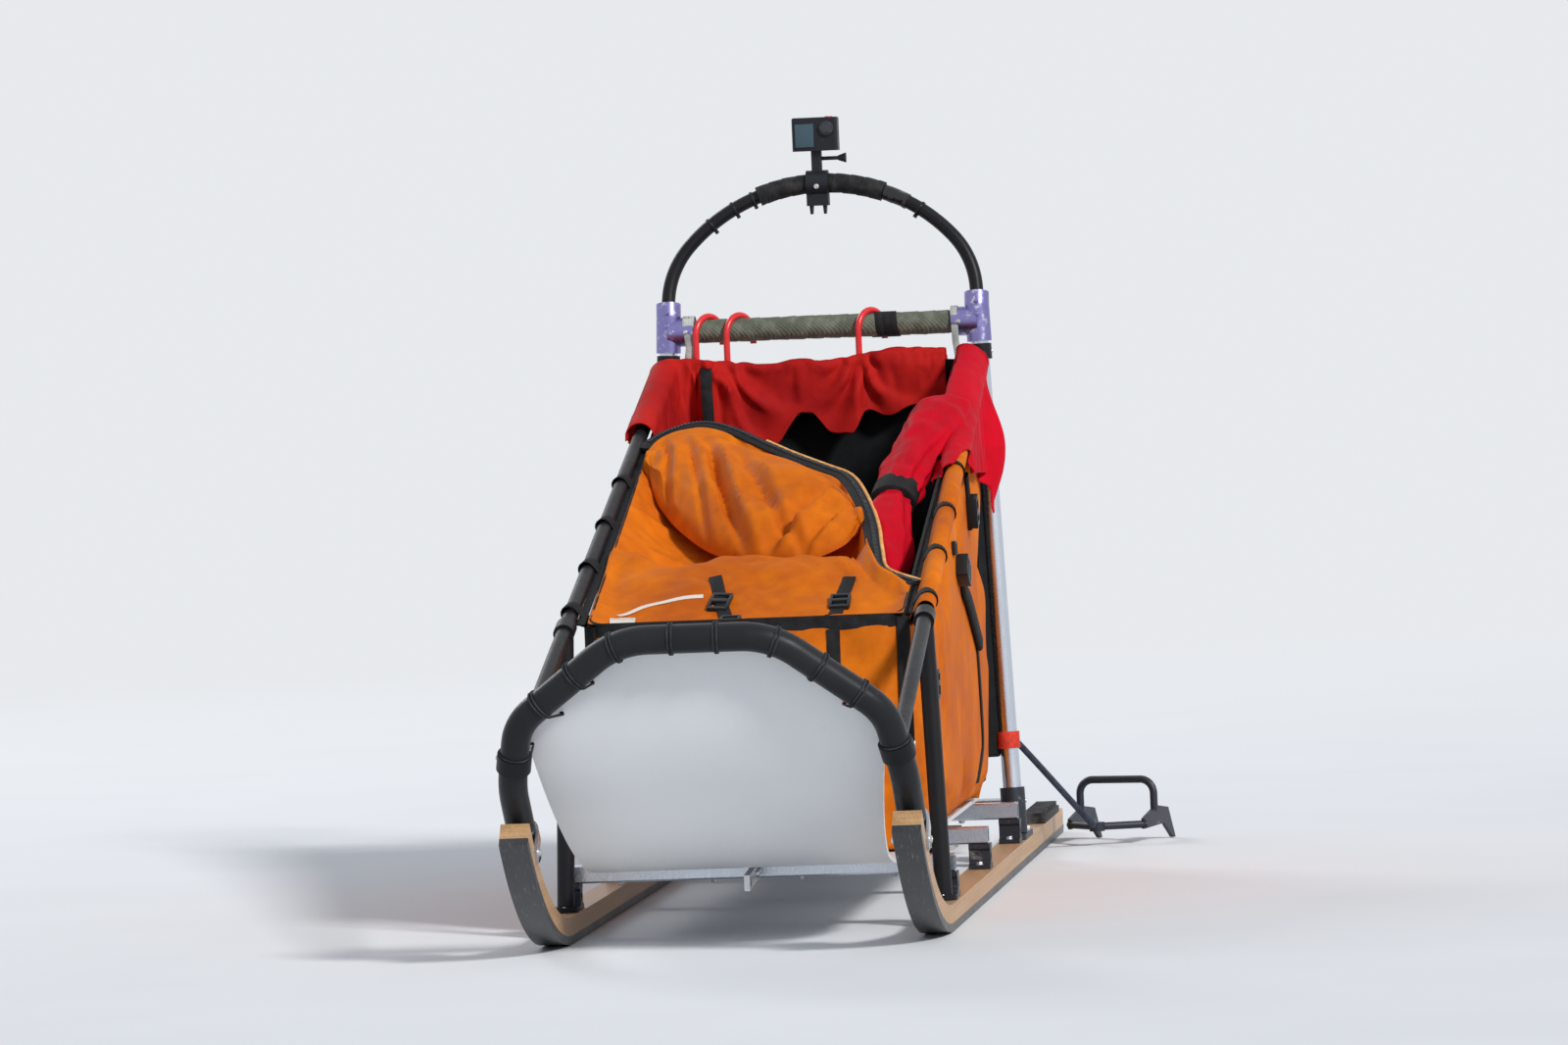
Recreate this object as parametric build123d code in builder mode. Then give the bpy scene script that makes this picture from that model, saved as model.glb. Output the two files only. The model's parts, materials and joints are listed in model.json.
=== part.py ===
from build123d import *
from math import acos, atan2, cos, degrees, radians, sin, tan
import os

# A touring dog sled with a raised plastic bed, built nose towards -Y.
# All sizes are millimetres. The origin is on the ground under the middle of the sled.

# Fits between pieces
fit_gap = 0.1
running_gap = 0.05
soft_gap = 0.3

# Runners: a laminated wooden plank on a plastic sole, bent up at the nose
runner_gauge = 540.0
runner_width = 40.0
runner_height = 26.0
sole_height = 12.0
sled_length = 2400.0
tail_bevel = 9.0
nose_radius = 584.0
runner_upturn = 45.0

# Bed: a plastic sheet on cross beams, carried by risers on the runners
sheet_z = 100.0
sheet_thickness = 6.0
sheet_width = 430.0
sheet_rear_y = 560.0
sheet_flare_width = 496.0
sheet_corner_radius = 30.0
sheet_flare_start = 20.0
sheet_shoulder_drop = 15.0
sheet_crown_spare = 4.0
beam_size = 25.0
beam_wall = 3.0
beam_length = 566.0
beam_places = {"front": -560.0, "middle": -40.0, "rear": 462.0}
riser_length = 46.0
riser_flange = 7.0
riser_web = 24.0
riser_depth = 32.0
riser_fillet = 4.0
riser_hole_radius = 5.0

# Brush bow: the pipe arch at the nose, given by width and angle round the nose curve
bow_pipe_radius = 20.0
bow_sheet_gap = 7.0
bow_leg_angles = (33.0, 50.0)
bow_leg_gaps = (0.5, 6.0)
bow_shoulder = (252.0, 61.2)
bow_crown = (105.0, 74.6)
bow_bends = (150.0, 80.0, 120.0)
bow_clamp_place = 48.0

# Lashing holes along the sheet's arched edge
lashing_radius = 3.5
lashing_inset = 16.0
lashing_pitch = 62.0

# Stanchions and the clamps that join them to the driving bow and crossbar
stanchion_radius = 14.0
stanchion_foot_y = 550.0
stanchion_lean = 40.0
elbow_half_width = 240.0
elbow_z = 862.0
clamp_wall = 5.0
clamp_drop = 56.0
clamp_rise = 20.0
clamp_web = 4.0
clamp_ear_reach = 11.0
clamp_ear_width = 17.0
clamp_ear_height = 22.0
clamp_ear_drop = 38.0
clamp_slit = 3.0
clamp_bolt_radius = 2.6

# Driving bow: a three-centred arch that leans back
driving_bow_rise = 205.0
driving_bow_lean = 15.0
driving_bow_radius = 10.5
driving_bow_side_radius = 140.0
grip_length = 200.0
grip_wall = 2.5

# Crossbar between the clamps, with three cane hooks that hold the bag's collar
crossbar_drop = 24.0
crossbar_radius = 17.5
crossbar_inset = 18.0
boss_length = 40.0
cane_rod_radius = 5.0
cane_bend_radius = 31.0
cane_twist = 35.0
cane_drop = 84.0
cane_tail = 14.0
cane_places = (-178.0, -130.0, 75.0)

# Side rails and front uprights
rail_radius = 11.0
rail_rear_drop = 72.0
rail_front_height = 0.40
ring_wall = 4.0
ring_height = 24.0
upright_seat = 2.0
upright_radius = 12.5
upright_y = -595.0
upright_foot_y = -612.0
upright_flange_radius = 19.0
upright_flange_height = 8.0

# Foot castings that hold the stanchions and the brake shaft
foot_height = 9.0
foot_front_y = 505.0
foot_corner = 8.0
foot_socket_height = 70.0
foot_socket_wall = 5.0
foot_socket_floor = 3.0
brake_shaft_y = 606.0
brake_shaft_z = 85.0
brake_shaft_radius = 12.5
brake_shaft_end_gap = 2.5
brake_lug_thickness = 24.0
brake_lug_offset = 8.0
brake_lug_front = 40.0
brake_lug_rear = 26.0
brake_lug_wall = 8.0
brake_socket_depth = 22.0

# Brake: a sprung frame on the shaft, with two claws
brake_half_width = 105.0
brake_arm = 130.0
brake_rest_angle = 24.0
brake_sleeve_wall = 5.0
brake_sleeve_length = 34.0
brake_bar_radius = 11.0
brake_arm_thickness = 8.0
brake_arm_spare = 4.0
claw_reach = 10.0
claw_clearance = 3.0
claw_thickness = 8.0
claw_root_width = 30.0
claw_tip_width = 8.0
claw_spacing = 140.0
claw_bulge = 4.0
claw_bulge_height = 0.6

# Drag mat: a ribbed rubber track that trails between the footpads
mat_hinge_y = 790.0
mat_rod_radius = 6.0
mat_width = 270.0
mat_length = 300.0
mat_plate = 8.0
mat_lug_height = 15.0
mat_lug_thickness = 12.0
mat_lug_rows = 5
mat_lug_width = 58.0
mat_ground_gap = 0.7
mat_knuckle_wall = 5.0
mat_link_x = 152.0
mat_link_thickness = 6.0
mat_link_height = 22.0
mat_link_front = 14.0
mat_link_shoulder = 60.0
mat_link_neck = 40.0
mat_link_end = 12.0
mat_lug_taper = 8.0

# Footpads on the runner tails
footpad_tail_gap = 70.0
footpad_length = 280.0
footpad_base = 10.0
footpad_rib = 7.0
footpad_ribs = 12
footpad_corner = 6.0
footpad_margin = 4.0

# Bag of coated cloth
bag_width = 456.0
bag_wall = 5.0
bag_front_y = -586.0
bag_rear_y = 556.0
bag_rear_bend = 90.0
bag_corner_bend = 32.0
bag_rail_drop = 3.0
bag_mouth_rise = 60.0
cover_seam = 2.0
cover_thickness = 8.0

# The cover's rear edge and roll, as (x, distance up the slope of the rim)
cover_edge = ((-150.0, 250.0), (-32.0, 135.0), (60.0, 36.0), (117.0, -121.0), (150.0, -325.0))
cover_edge_left = 300.0
cover_edge_right = -490.0
cover_roll_radius = 62.0
cover_roll_ends = ((-206.0, 104.0), (124.0, -180.0))
cover_roll_profile = ((0.1, 0.62), (0.3, 0.96), (0.5, 1.0), (0.7, 0.9), (0.9, 0.52))
collar_thickness = 4.0
collar_depth = 215.0
collar_return = 60.0
flap_rear_y = 490.0
flap_run = 420.0
flap_outer_x = (268.5, 286.0)
flap_inner_x = (205.0, 217.0)
flap_leaf = 9.0
flap_inner_drop = 90.0
flap_hem = 30.0
flap_skirt = ((490.0, 178.0), (430.0, 140.0), (300.0, 72.0), (90.0, 34.0))
flap_tail = ((380.0, 620.0), (80.0, 548.0), (-250.0, 478.0))
flap_tail_end = 40.0

# Camera on the driving bow
camera_x = -5.0
camera_size = (71.0, 34.0, 52.0)
camera_stem = 50.0
camera_clamp_width = 34.0
camera_clamp_gap = 1.0
camera_clamp_wall = 7.0
camera_knob_radius = 8.0
camera_knob_length = 12.0
camera_screw_radius = 3.0
camera_screw_length = 34.0
camera_screw_height = 38.0
camera_jaw = (22.0, 30.0)
camera_jaw_slit = 4.0
camera_neck = (16.0, 15.0)
camera_neck_sunk = 3.0
camera_lens = (19.0, 35.0)
camera_lens_radius = 12.0
camera_lens_depth = 8.0
camera_corner = 5.0

# Tow tab under the front beam
tow_hole_radius = 6.5
tow_tab_length = 120.0
tow_tab_height = 34.0
tow_tab_thickness = 8.0
tow_tab_top = (4.0, 12.0)
tow_tab_root = 24.0
tow_hole_inset = (14.0, 12.0)

# Snow hook set beside the left runner, and its line
hook_eye = (372.0, 862.0, 30.0)
hook_bar_radius = 6.0
hook_width = 126.0
hook_arch_height = 98.0
hook_tine_thickness = 6.0
hook_tine_back = 44.0
hook_eye_length = 14.0
hook_eye_ahead = 2.0
hook_arch_back = 84.0
hook_arch_lift = 18.0
hook_arch_bend = 22.0

# The tine's side view, as (away from the sled, up) from its root at the eye's height
hook_tine_top = ((-8.0, 9.0), (46.0, 26.0), (92.0, 20.0), (118.0, -29.4))
hook_tine_under = ((108.0, -29.4), (74.0, -4.0), (-8.0, -7.0))
line_radius = 5.0
line_loop_z = 190.0
line_loop_width = 26.0
line_loop_wall = 3.0
line_route = ((271.4, 575.9, 190.0), (277.5, 592.5, 182.0), (362.0, 833.0, 40.5), (366.7, 846.6, 33.0))

# Values that follow from the sizes above
nose_y = -sled_length / 2
tail_y = sled_length / 2
crossbar_z = elbow_z - crossbar_drop
rail_rear_z = elbow_z - rail_rear_drop
gauge_half = runner_gauge / 2
runner_top = sole_height + runner_height
bow_radius = nose_radius - sheet_z + bow_pipe_radius + bow_sheet_gap
nose_centre_y = nose_y + bow_pipe_radius + bow_radius * sin(radians(bow_crown[1]))
beam_z = sheet_z - beam_size / 2
sheet_top = sheet_z + sheet_thickness


def on_nose(radius, angle):
    """Returns the (y, z) of a point round the nose curve, its angle counted back from straight down."""
    turn = radians(angle)
    return (nose_centre_y - radius * sin(turn), nose_radius - radius * cos(turn))


def nose_layer(x, low, high, rear_y, angle):
    """Returns the side view of a layer that lies between two heights and bends up at the nose."""
    centre = (nose_centre_y, nose_radius)
    outer = nose_radius - low
    inner = nose_radius - high
    with BuildSketch(Plane.YZ.offset(x)) as layer:
        with BuildLine():
            Line((rear_y, low), (nose_centre_y, low))
            CenterArc(centre, outer, -90, -angle)
            Line(on_nose(outer, angle), on_nose(inner, angle))
            CenterArc(centre, inner, -90 - angle, angle)
            Line((nose_centre_y, high), (rear_y, high))
            Line((rear_y, high), (rear_y, low))
        make_face()
    return layer.sketch


def round_bar(start, end, radius):
    """Returns a straight round bar between two points."""
    run = Vector(*end) - Vector(*start)
    with BuildPart() as bar:
        with BuildSketch(Plane(origin=start, z_dir=run)):
            Circle(radius)
        extrude(amount=run.length)
    return bar.part


def bent_bar(path, radius, bore=0.0):
    """Returns a round bar or tube swept along a wire of runs and arcs."""
    with BuildPart() as bar:
        with BuildSketch(Plane(origin=path @ 0, z_dir=path % 0)):
            Circle(radius)
            if bore > 0:
                Circle(bore, mode=Mode.SUBTRACT)
        sweep(path=path)
    return bar.part


def other_side(piece):
    """Returns the piece's mirror image, for the sled's right side."""
    with BuildPart() as image:
        mirror(piece.part, about=Plane.YZ)
    return image


# Runners and soles
with BuildPart() as sole_left:
    extrude(nose_layer(gauge_half, 0, sole_height, tail_y, runner_upturn), amount=runner_width / 2, both=True)
    heel = sole_left.edges().filter_by(Axis.X).group_by(Axis.Y)[-1].sort_by(Axis.Z)[0]
    chamfer(heel, length=tail_bevel)

with BuildPart() as runner_left:
    plank = nose_layer(gauge_half, sole_height, runner_top, tail_y, runner_upturn)
    extrude(plank, amount=runner_width / 2, both=True)
    tail_edges = runner_left.edges().filter_by(Axis.Z).group_by(Axis.Y)[-1]
    fillet(tail_edges, radius=runner_width / 4)

# Cross beams: square tube, open at both ends
beams = {}
for place, beam_y in beam_places.items():
    with BuildPart() as beam:
        with BuildSketch(Plane.YZ.offset(-beam_length / 2)):
            with Locations((beam_y, beam_z)):
                RectangleRounded(beam_size, beam_size, beam_wall)
                Rectangle(beam_size - 2 * beam_wall, beam_size - 2 * beam_wall, mode=Mode.SUBTRACT)
        extrude(amount=beam_length)
    beams[place] = beam

# Risers: cast pedestals with a flange at the top and the bottom and a hole through the web
riser_height = sheet_z - beam_size - runner_top
with BuildPart() as risers_left:
    for beam_y in beam_places.values():
        with BuildSketch(Plane.YZ.offset(gauge_half)) as riser_side:
            with Locations((beam_y, runner_top + riser_height / 2)):
                Rectangle(riser_web, riser_height)
                Circle(riser_hole_radius, mode=Mode.SUBTRACT)
            with Locations((beam_y, runner_top + riser_flange / 2)):
                Rectangle(riser_length, riser_flange)
            with Locations((beam_y, runner_top + riser_height - riser_flange / 2)):
                Rectangle(beam_size + riser_flange, riser_flange)
            web_sides = [beam_y - riser_web / 2, beam_y + riser_web / 2]
            corners = [v for v in riser_side.vertices() if min(abs(v.X - y) for y in web_sides) < fit_gap]
            fillet(corners, radius=riser_fillet)
        extrude(amount=riser_depth / 2, both=True)

# Bed sheet: the flat bed and the nose that curves up behind the brush bow
crown_z = on_nose(bow_radius, bow_crown[1])[1]
shoulder_z = on_nose(bow_radius, bow_shoulder[1])[1]
crown_drop = nose_radius - crown_z
sheet_upturn = degrees(acos(crown_drop / (nose_radius - sheet_top)))
nose_outline = (
    (sheet_width / 2, 0),
    (sheet_width / 2, sheet_z + sheet_flare_start),
    (sheet_flare_width / 2, shoulder_z - sheet_shoulder_drop),
    (bow_crown[0] + sheet_crown_spare, crown_z),
)
edge_low, edge_high = [Vector(x, z - lashing_inset) for x, z in nose_outline[2:]]
edge_low -= Vector(lashing_inset / 2, 0)
edge_high -= Vector(lashing_inset / 2, 0)
slope_holes = int((edge_high - edge_low).length / lashing_pitch)
slope_step = (edge_low - edge_high) / slope_holes
lashing_places = [edge_high + slope_step * step for step in range(slope_holes + 1)]
crown_holes = int(edge_high.X / lashing_pitch)
lashing_places += [Vector((step + 0.5) * lashing_pitch, edge_high.Y) for step in range(crown_holes)]
with BuildPart() as bed_sheet:
    sheet_side = nose_layer(0, sheet_z, sheet_top, sheet_rear_y, sheet_upturn)
    extrude(sheet_side, amount=sheet_flare_width / 2, both=True)
    with BuildSketch(Plane.XZ.offset(-tail_y)) as sheet_front:
        with BuildLine():
            Polyline(*nose_outline, *[(-x, z) for x, z in reversed(nose_outline)], close=True)
        make_face()
        shoulders = sheet_front.vertices().group_by(Axis.Y)[2]
        fillet(shoulders, radius=sheet_corner_radius)
    extrude(amount=tail_y - nose_y + nose_radius, mode=Mode.INTERSECT)
    with BuildSketch(Plane.XZ.offset(-nose_centre_y)):
        with Locations(*[(side * place.X, place.Y) for place in lashing_places for side in (-1, 1)]):
            Circle(lashing_radius)
    extrude(amount=nose_radius, mode=Mode.SUBTRACT)

# Brush bow: one bent pipe whose legs lie on the runner tips
leg_seat = nose_radius - runner_top - bow_pipe_radius
leg_low = (gauge_half, *on_nose(leg_seat - bow_leg_gaps[0], bow_leg_angles[0]))
leg_high = (gauge_half, *on_nose(leg_seat - bow_leg_gaps[1], bow_leg_angles[1]))
shoulder = (bow_shoulder[0], *on_nose(bow_radius, bow_shoulder[1]))
crown = (bow_crown[0], *on_nose(bow_radius, bow_crown[1]))
bow_points = [leg_low, leg_high, shoulder, crown]
bow_points += [(-x, y, z) for x, y, z in reversed(bow_points)]
with BuildLine() as bow_line:
    FilletPolyline(*bow_points, radius=[*bow_bends, *reversed(bow_bends)])
with BuildPart() as brush_bow:
    add(bent_bar(bow_line.wire(), bow_pipe_radius))

# Brush bow clamps: straps over the pipe, bolted to the sides of the runner
leg_run = (Vector(*leg_high) - Vector(*leg_low)).normalized()
clamp_centre = Vector(*leg_low) + leg_run * bow_clamp_place
with BuildPart() as brush_bow_clamp_left:
    with BuildSketch(Plane(origin=clamp_centre, x_dir=(1, 0, 0), z_dir=leg_run)):
        Circle(bow_pipe_radius + ring_wall)
        with Locations((0, -bow_pipe_radius)):
            Rectangle(2 * (bow_pipe_radius + ring_wall), 2 * bow_pipe_radius)
        Circle(bow_pipe_radius + fit_gap, mode=Mode.SUBTRACT)
        with Locations((0, -1.5 * bow_pipe_radius)):
            Rectangle(2 * (bow_pipe_radius + fit_gap), 3 * bow_pipe_radius, mode=Mode.SUBTRACT)
    extrude(amount=ring_height / 2, both=True)

# Stanchions lean back and towards each other
foot_socket_z = runner_top + foot_height
stanchion_low = Vector(gauge_half, stanchion_foot_y, foot_socket_z)
elbow = Vector(elbow_half_width, stanchion_foot_y + stanchion_lean, elbow_z)
stanchion_run = (elbow - stanchion_low).normalized()


def on_stanchion(z):
    """Returns the point of the left stanchion's axis at a height."""
    return stanchion_low + (elbow - stanchion_low) * ((z - stanchion_low.Z) / (elbow.Z - stanchion_low.Z))


with BuildPart() as stanchion_left:
    tube_low = stanchion_low + stanchion_run * foot_socket_floor
    add(round_bar(tube_low, elbow - stanchion_run * clamp_web, stanchion_radius))

# Foot castings: base, leaning socket and the lug for the brake shaft
foot_rear_y = brake_shaft_y + brake_lug_rear + clamp_wall
lug_x = gauge_half - brake_lug_offset
with BuildPart() as stanchion_foot_left:
    with BuildSketch(Plane.XY.offset(runner_top)):
        with Locations((gauge_half, (foot_front_y + foot_rear_y) / 2)):
            RectangleRounded(runner_width, foot_rear_y - foot_front_y, foot_corner)
    extrude(amount=foot_height)
    with BuildSketch(Plane(origin=stanchion_low, z_dir=stanchion_run)):
        Circle(stanchion_radius + foot_socket_wall)
    extrude(amount=foot_socket_height)
    lug_radius = brake_shaft_radius + brake_lug_wall
    with BuildSketch(Plane.YZ.offset(lug_x)):
        with BuildLine():
            Polyline(
                (brake_shaft_y - brake_lug_front, runner_top),
                (brake_shaft_y + brake_lug_rear, runner_top),
                (brake_shaft_y + lug_radius, brake_shaft_z),
                (brake_shaft_y, brake_shaft_z + lug_radius / 2),
                (brake_shaft_y - brake_lug_front, brake_shaft_z),
                close=True,
            )
        make_face()
        with Locations((brake_shaft_y, brake_shaft_z)):
            Circle(lug_radius)
    extrude(amount=brake_lug_thickness / 2, both=True)
    with BuildSketch(Plane(origin=stanchion_low + stanchion_run * foot_socket_floor, z_dir=stanchion_run)):
        Circle(stanchion_radius + fit_gap)
    extrude(amount=2 * foot_socket_height, mode=Mode.SUBTRACT)
    with BuildSketch(Plane.YZ.offset(gauge_half)):
        with Locations((brake_shaft_y, brake_shaft_z)):
            Circle(brake_shaft_radius + fit_gap)
    extrude(amount=-brake_socket_depth, mode=Mode.SUBTRACT)

# Driving bow in its own leaning plane
bow_lean = radians(driving_bow_lean)
bow_up = Vector(0, sin(bow_lean), cos(bow_lean))
bow_plane = Plane(origin=(0, elbow.Y, elbow.Z), x_dir=(1, 0, 0), z_dir=(0, -cos(bow_lean), sin(bow_lean)))
arch_rise = driving_bow_rise - clamp_rise
side_radius = driving_bow_side_radius
side_centre_x = elbow_half_width - side_radius
arch_radius = (side_centre_x**2 + arch_rise**2 - side_radius**2) / (2 * (arch_rise - side_radius))
arch_drop = arch_radius - arch_rise
side_turn = degrees(atan2(arch_drop, side_centre_x))
top_centre = (0, clamp_rise - arch_drop)
with BuildLine(bow_plane) as bow_arch:
    Line((elbow_half_width, clamp_web), (elbow_half_width, clamp_rise))
    CenterArc((side_centre_x, clamp_rise), side_radius, 0, side_turn)
    CenterArc(top_centre, arch_radius, side_turn, 180 - 2 * side_turn)
    CenterArc((-side_centre_x, clamp_rise), side_radius, 180 - side_turn, side_turn)
    Line((-elbow_half_width, clamp_rise), (-elbow_half_width, clamp_web))
with BuildPart() as driving_bow:
    add(bent_bar(bow_arch.wire(), driving_bow_radius))

# Grip: a sleeve over the top of the arch
grip_turn = degrees(grip_length / 2 / arch_radius)
with BuildLine(bow_plane) as grip_line:
    CenterArc(top_centre, arch_radius, 90 - grip_turn, 2 * grip_turn)
grip_radius = driving_bow_radius + grip_wall
with BuildPart() as grip_sleeve:
    add(bent_bar(grip_line.wire(), grip_radius, bore=driving_bow_radius + fit_gap))

# Joint clamps: an elbow on the stanchion's top, split and bolted behind, with the boss for the crossbar
ear_seat = elbow - stanchion_run * clamp_ear_drop
ear_plane = Plane(origin=ear_seat, x_dir=(0, 1, 0), z_dir=stanchion_run)
clamp_radius = stanchion_radius + clamp_wall
crossbar_seat = on_stanchion(crossbar_z)
crossbar_half = crossbar_seat.X - crossbar_inset
with BuildPart() as joint_clamp_left:
    with BuildSketch(Plane(origin=elbow, z_dir=-stanchion_run)):
        Circle(clamp_radius)
    extrude(amount=clamp_drop)
    with BuildSketch(Plane(origin=elbow, z_dir=bow_up)):
        Circle(clamp_radius)
    extrude(amount=clamp_rise)
    with Locations(elbow):
        Sphere(clamp_radius)
    with BuildSketch(Plane(origin=crossbar_seat, z_dir=(-1, 0, 0))):
        Circle(crossbar_radius + clamp_wall)
    extrude(amount=boss_length)
    with BuildSketch(ear_plane):
        with Locations((clamp_radius, 0)):
            RectangleRounded(2 * clamp_ear_reach, clamp_ear_width, clamp_ear_reach / 3)
    extrude(amount=clamp_ear_height / 2, both=True)
    with BuildSketch(Plane(origin=elbow - stanchion_run * clamp_web, z_dir=-stanchion_run)):
        Circle(stanchion_radius + fit_gap)
    extrude(amount=clamp_drop, mode=Mode.SUBTRACT)
    with BuildSketch(Plane(origin=elbow + bow_up * clamp_web, z_dir=bow_up)):
        Circle(driving_bow_radius + fit_gap)
    extrude(amount=clamp_rise, mode=Mode.SUBTRACT)
    with BuildSketch(Plane(origin=(crossbar_half, crossbar_seat.Y, crossbar_z), z_dir=(-1, 0, 0))):
        Circle(crossbar_radius + fit_gap)
    extrude(amount=boss_length, mode=Mode.SUBTRACT)
    with BuildSketch(ear_plane):
        Rectangle(2 * clamp_radius + clamp_ear_reach, clamp_slit, align=(Align.MIN, Align.CENTER))
    extrude(amount=clamp_drop - clamp_ear_drop, both=True, mode=Mode.SUBTRACT)
    bolt_y = ear_seat.Y + clamp_radius + clamp_ear_reach / 2
    with BuildSketch(Plane.YZ.offset(ear_seat.X)):
        with Locations((bolt_y, ear_seat.Z)):
            Circle(clamp_bolt_radius)
    extrude(amount=clamp_ear_width, both=True, mode=Mode.SUBTRACT)

with BuildPart() as crossbar:
    ends = [(side * crossbar_half, crossbar_seat.Y, crossbar_z) for side in (-1, 1)]
    add(round_bar(*ends, crossbar_radius))

# Cane hooks: a shank, a crook over the crossbar and a short tail
cane_hooks = []
crook_z = crossbar_z + crossbar_radius + soft_gap + cane_rod_radius - cane_bend_radius
for cane_x in cane_places:
    twist = radians(cane_twist)
    cane_plane = Plane(
        origin=(cane_x, crossbar_seat.Y, crook_z),
        x_dir=(sin(twist), cos(twist), 0),
        z_dir=(cos(twist), -sin(twist), 0),
    )
    with BuildLine(cane_plane) as cane_line:
        Line((-cane_bend_radius, -cane_drop), (-cane_bend_radius, 0))
        CenterArc((0, 0), cane_bend_radius, 180, -180)
        Line((cane_bend_radius, 0), (cane_bend_radius, -cane_tail))
    with BuildPart() as cane_hook:
        add(bent_bar(cane_line.wire(), cane_rod_radius))
    cane_hooks.append(cane_hook)

# Side rails: from a ring on the stanchion to a ring on the brush bow's leg
rail_rear = on_stanchion(rail_rear_z)
bow_side = Vector(*shoulder) - Vector(*leg_high)
rail_front = Vector(*leg_high) + bow_side * rail_front_height
rail_run = (rail_rear - rail_front).normalized()


def rail_height(y):
    """Returns the height of the left rail's axis at a place along the sled."""
    return rail_front.Z + (rail_rear.Z - rail_front.Z) * (y - rail_front.Y) / (rail_rear.Y - rail_front.Y)


with BuildPart() as side_rail_left:
    add(round_bar(rail_front, rail_rear, rail_radius))
    for centre, axis, radius in (
        (rail_rear, stanchion_run, stanchion_radius),
        (rail_front, bow_side.normalized(), bow_pipe_radius),
    ):
        with BuildSketch(Plane(origin=centre, z_dir=axis)):
            Circle(radius + ring_wall)
        extrude(amount=ring_height / 2, both=True)
        with BuildSketch(Plane(origin=centre, z_dir=axis)):
            Circle(radius + fit_gap)
        extrude(amount=ring_height * 2, both=True, mode=Mode.SUBTRACT)

# Front uprights: a flanged foot on the runner and a ring round the rail
rail_share = (upright_y - rail_front.Y) / (rail_rear.Y - rail_front.Y)
upright_top = rail_front + (rail_rear - rail_front) * rail_share
upright_low = Vector(gauge_half, upright_foot_y, runner_top)
with BuildPart() as front_upright_left:
    with BuildSketch(Plane.XY.offset(runner_top)):
        with Locations((gauge_half, upright_foot_y)):
            Circle(upright_flange_radius)
    extrude(amount=upright_flange_height)
    add(round_bar(upright_low + Vector(0, 0, upright_seat), upright_top, upright_radius))
    with BuildSketch(Plane(origin=upright_top, z_dir=rail_run)):
        Circle(rail_radius + ring_wall)
    extrude(amount=ring_height / 2 + ring_wall, both=True)
    with BuildSketch(Plane(origin=upright_top, z_dir=rail_run)):
        Circle(rail_radius + fit_gap)
    extrude(amount=ring_height * 2, both=True, mode=Mode.SUBTRACT)

# Brake shaft between the foot castings
with BuildPart() as brake_shaft:
    shaft_half = gauge_half - brake_shaft_end_gap
    ends = [(side * shaft_half, brake_shaft_y, brake_shaft_z) for side in (-1, 1)]
    add(round_bar(*ends, brake_shaft_radius))

# Brake frame, drawn pressed down in the plane of its arms and then raised to rest
claw_depth = brake_shaft_z - claw_clearance
shaft_axis = Axis((0, brake_shaft_y, brake_shaft_z), (1, 0, 0))
with BuildPart() as brake_pressed:
    for side in (-1, 1):
        arm_x = side * (brake_half_width - brake_sleeve_length / 2)
        with Locations(Plane(origin=(arm_x, brake_shaft_y, brake_shaft_z), z_dir=(1, 0, 0))):
            Cylinder(brake_shaft_radius + brake_sleeve_wall, brake_sleeve_length)
        with BuildSketch(Plane.YZ.offset(arm_x)):
            with Locations((brake_shaft_y, brake_shaft_z)):
                SlotCenterToCenter(2 * brake_arm, 2 * brake_bar_radius + brake_arm_spare)
                Rectangle(2 * brake_arm, brake_arm, align=(Align.MAX, Align.CENTER), mode=Mode.SUBTRACT)
        extrude(amount=brake_arm_thickness / 2, both=True)
        claw_y = brake_shaft_y + brake_arm
        claw_rear_y = claw_y + claw_root_width / 2
        claw_front_y = claw_y - claw_root_width / 2
        belly_z = brake_shaft_z - claw_depth * claw_bulge_height
        with BuildSketch(Plane.YZ.offset(side * claw_spacing / 2)):
            with BuildLine():
                Polyline(
                    (claw_front_y, brake_shaft_z),
                    (claw_rear_y, brake_shaft_z),
                    (claw_rear_y + claw_bulge, belly_z),
                    (claw_y + claw_reach, claw_clearance),
                    (claw_y + claw_reach - claw_tip_width, claw_clearance + claw_bulge),
                    (claw_front_y + claw_bulge, belly_z),
                    close=True,
                )
            make_face()
        extrude(amount=claw_thickness / 2, both=True)
    with Locations(Plane(origin=(0, brake_shaft_y + brake_arm, brake_shaft_z), z_dir=(1, 0, 0))):
        Cylinder(brake_bar_radius, 2 * brake_half_width)
    with Locations(Plane(origin=(0, brake_shaft_y, brake_shaft_z), z_dir=(1, 0, 0))):
        Cylinder(brake_shaft_radius + running_gap, 4 * brake_half_width, mode=Mode.SUBTRACT)
with BuildPart() as brake_frame:
    add(brake_pressed.part.rotate(shaft_axis, brake_rest_angle))

# Drag mat: plate, lugs and the knuckle round its rod
mat_rod_z = mat_ground_gap + mat_lug_height + mat_plate / 2
mat_rod_half = mat_link_x + mat_link_thickness / 2
with BuildPart() as mat_rod:
    rod_end = Vector(mat_rod_half, mat_hinge_y, mat_rod_z)
    add(round_bar((-rod_end.X, rod_end.Y, rod_end.Z), rod_end, mat_rod_radius))

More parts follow.
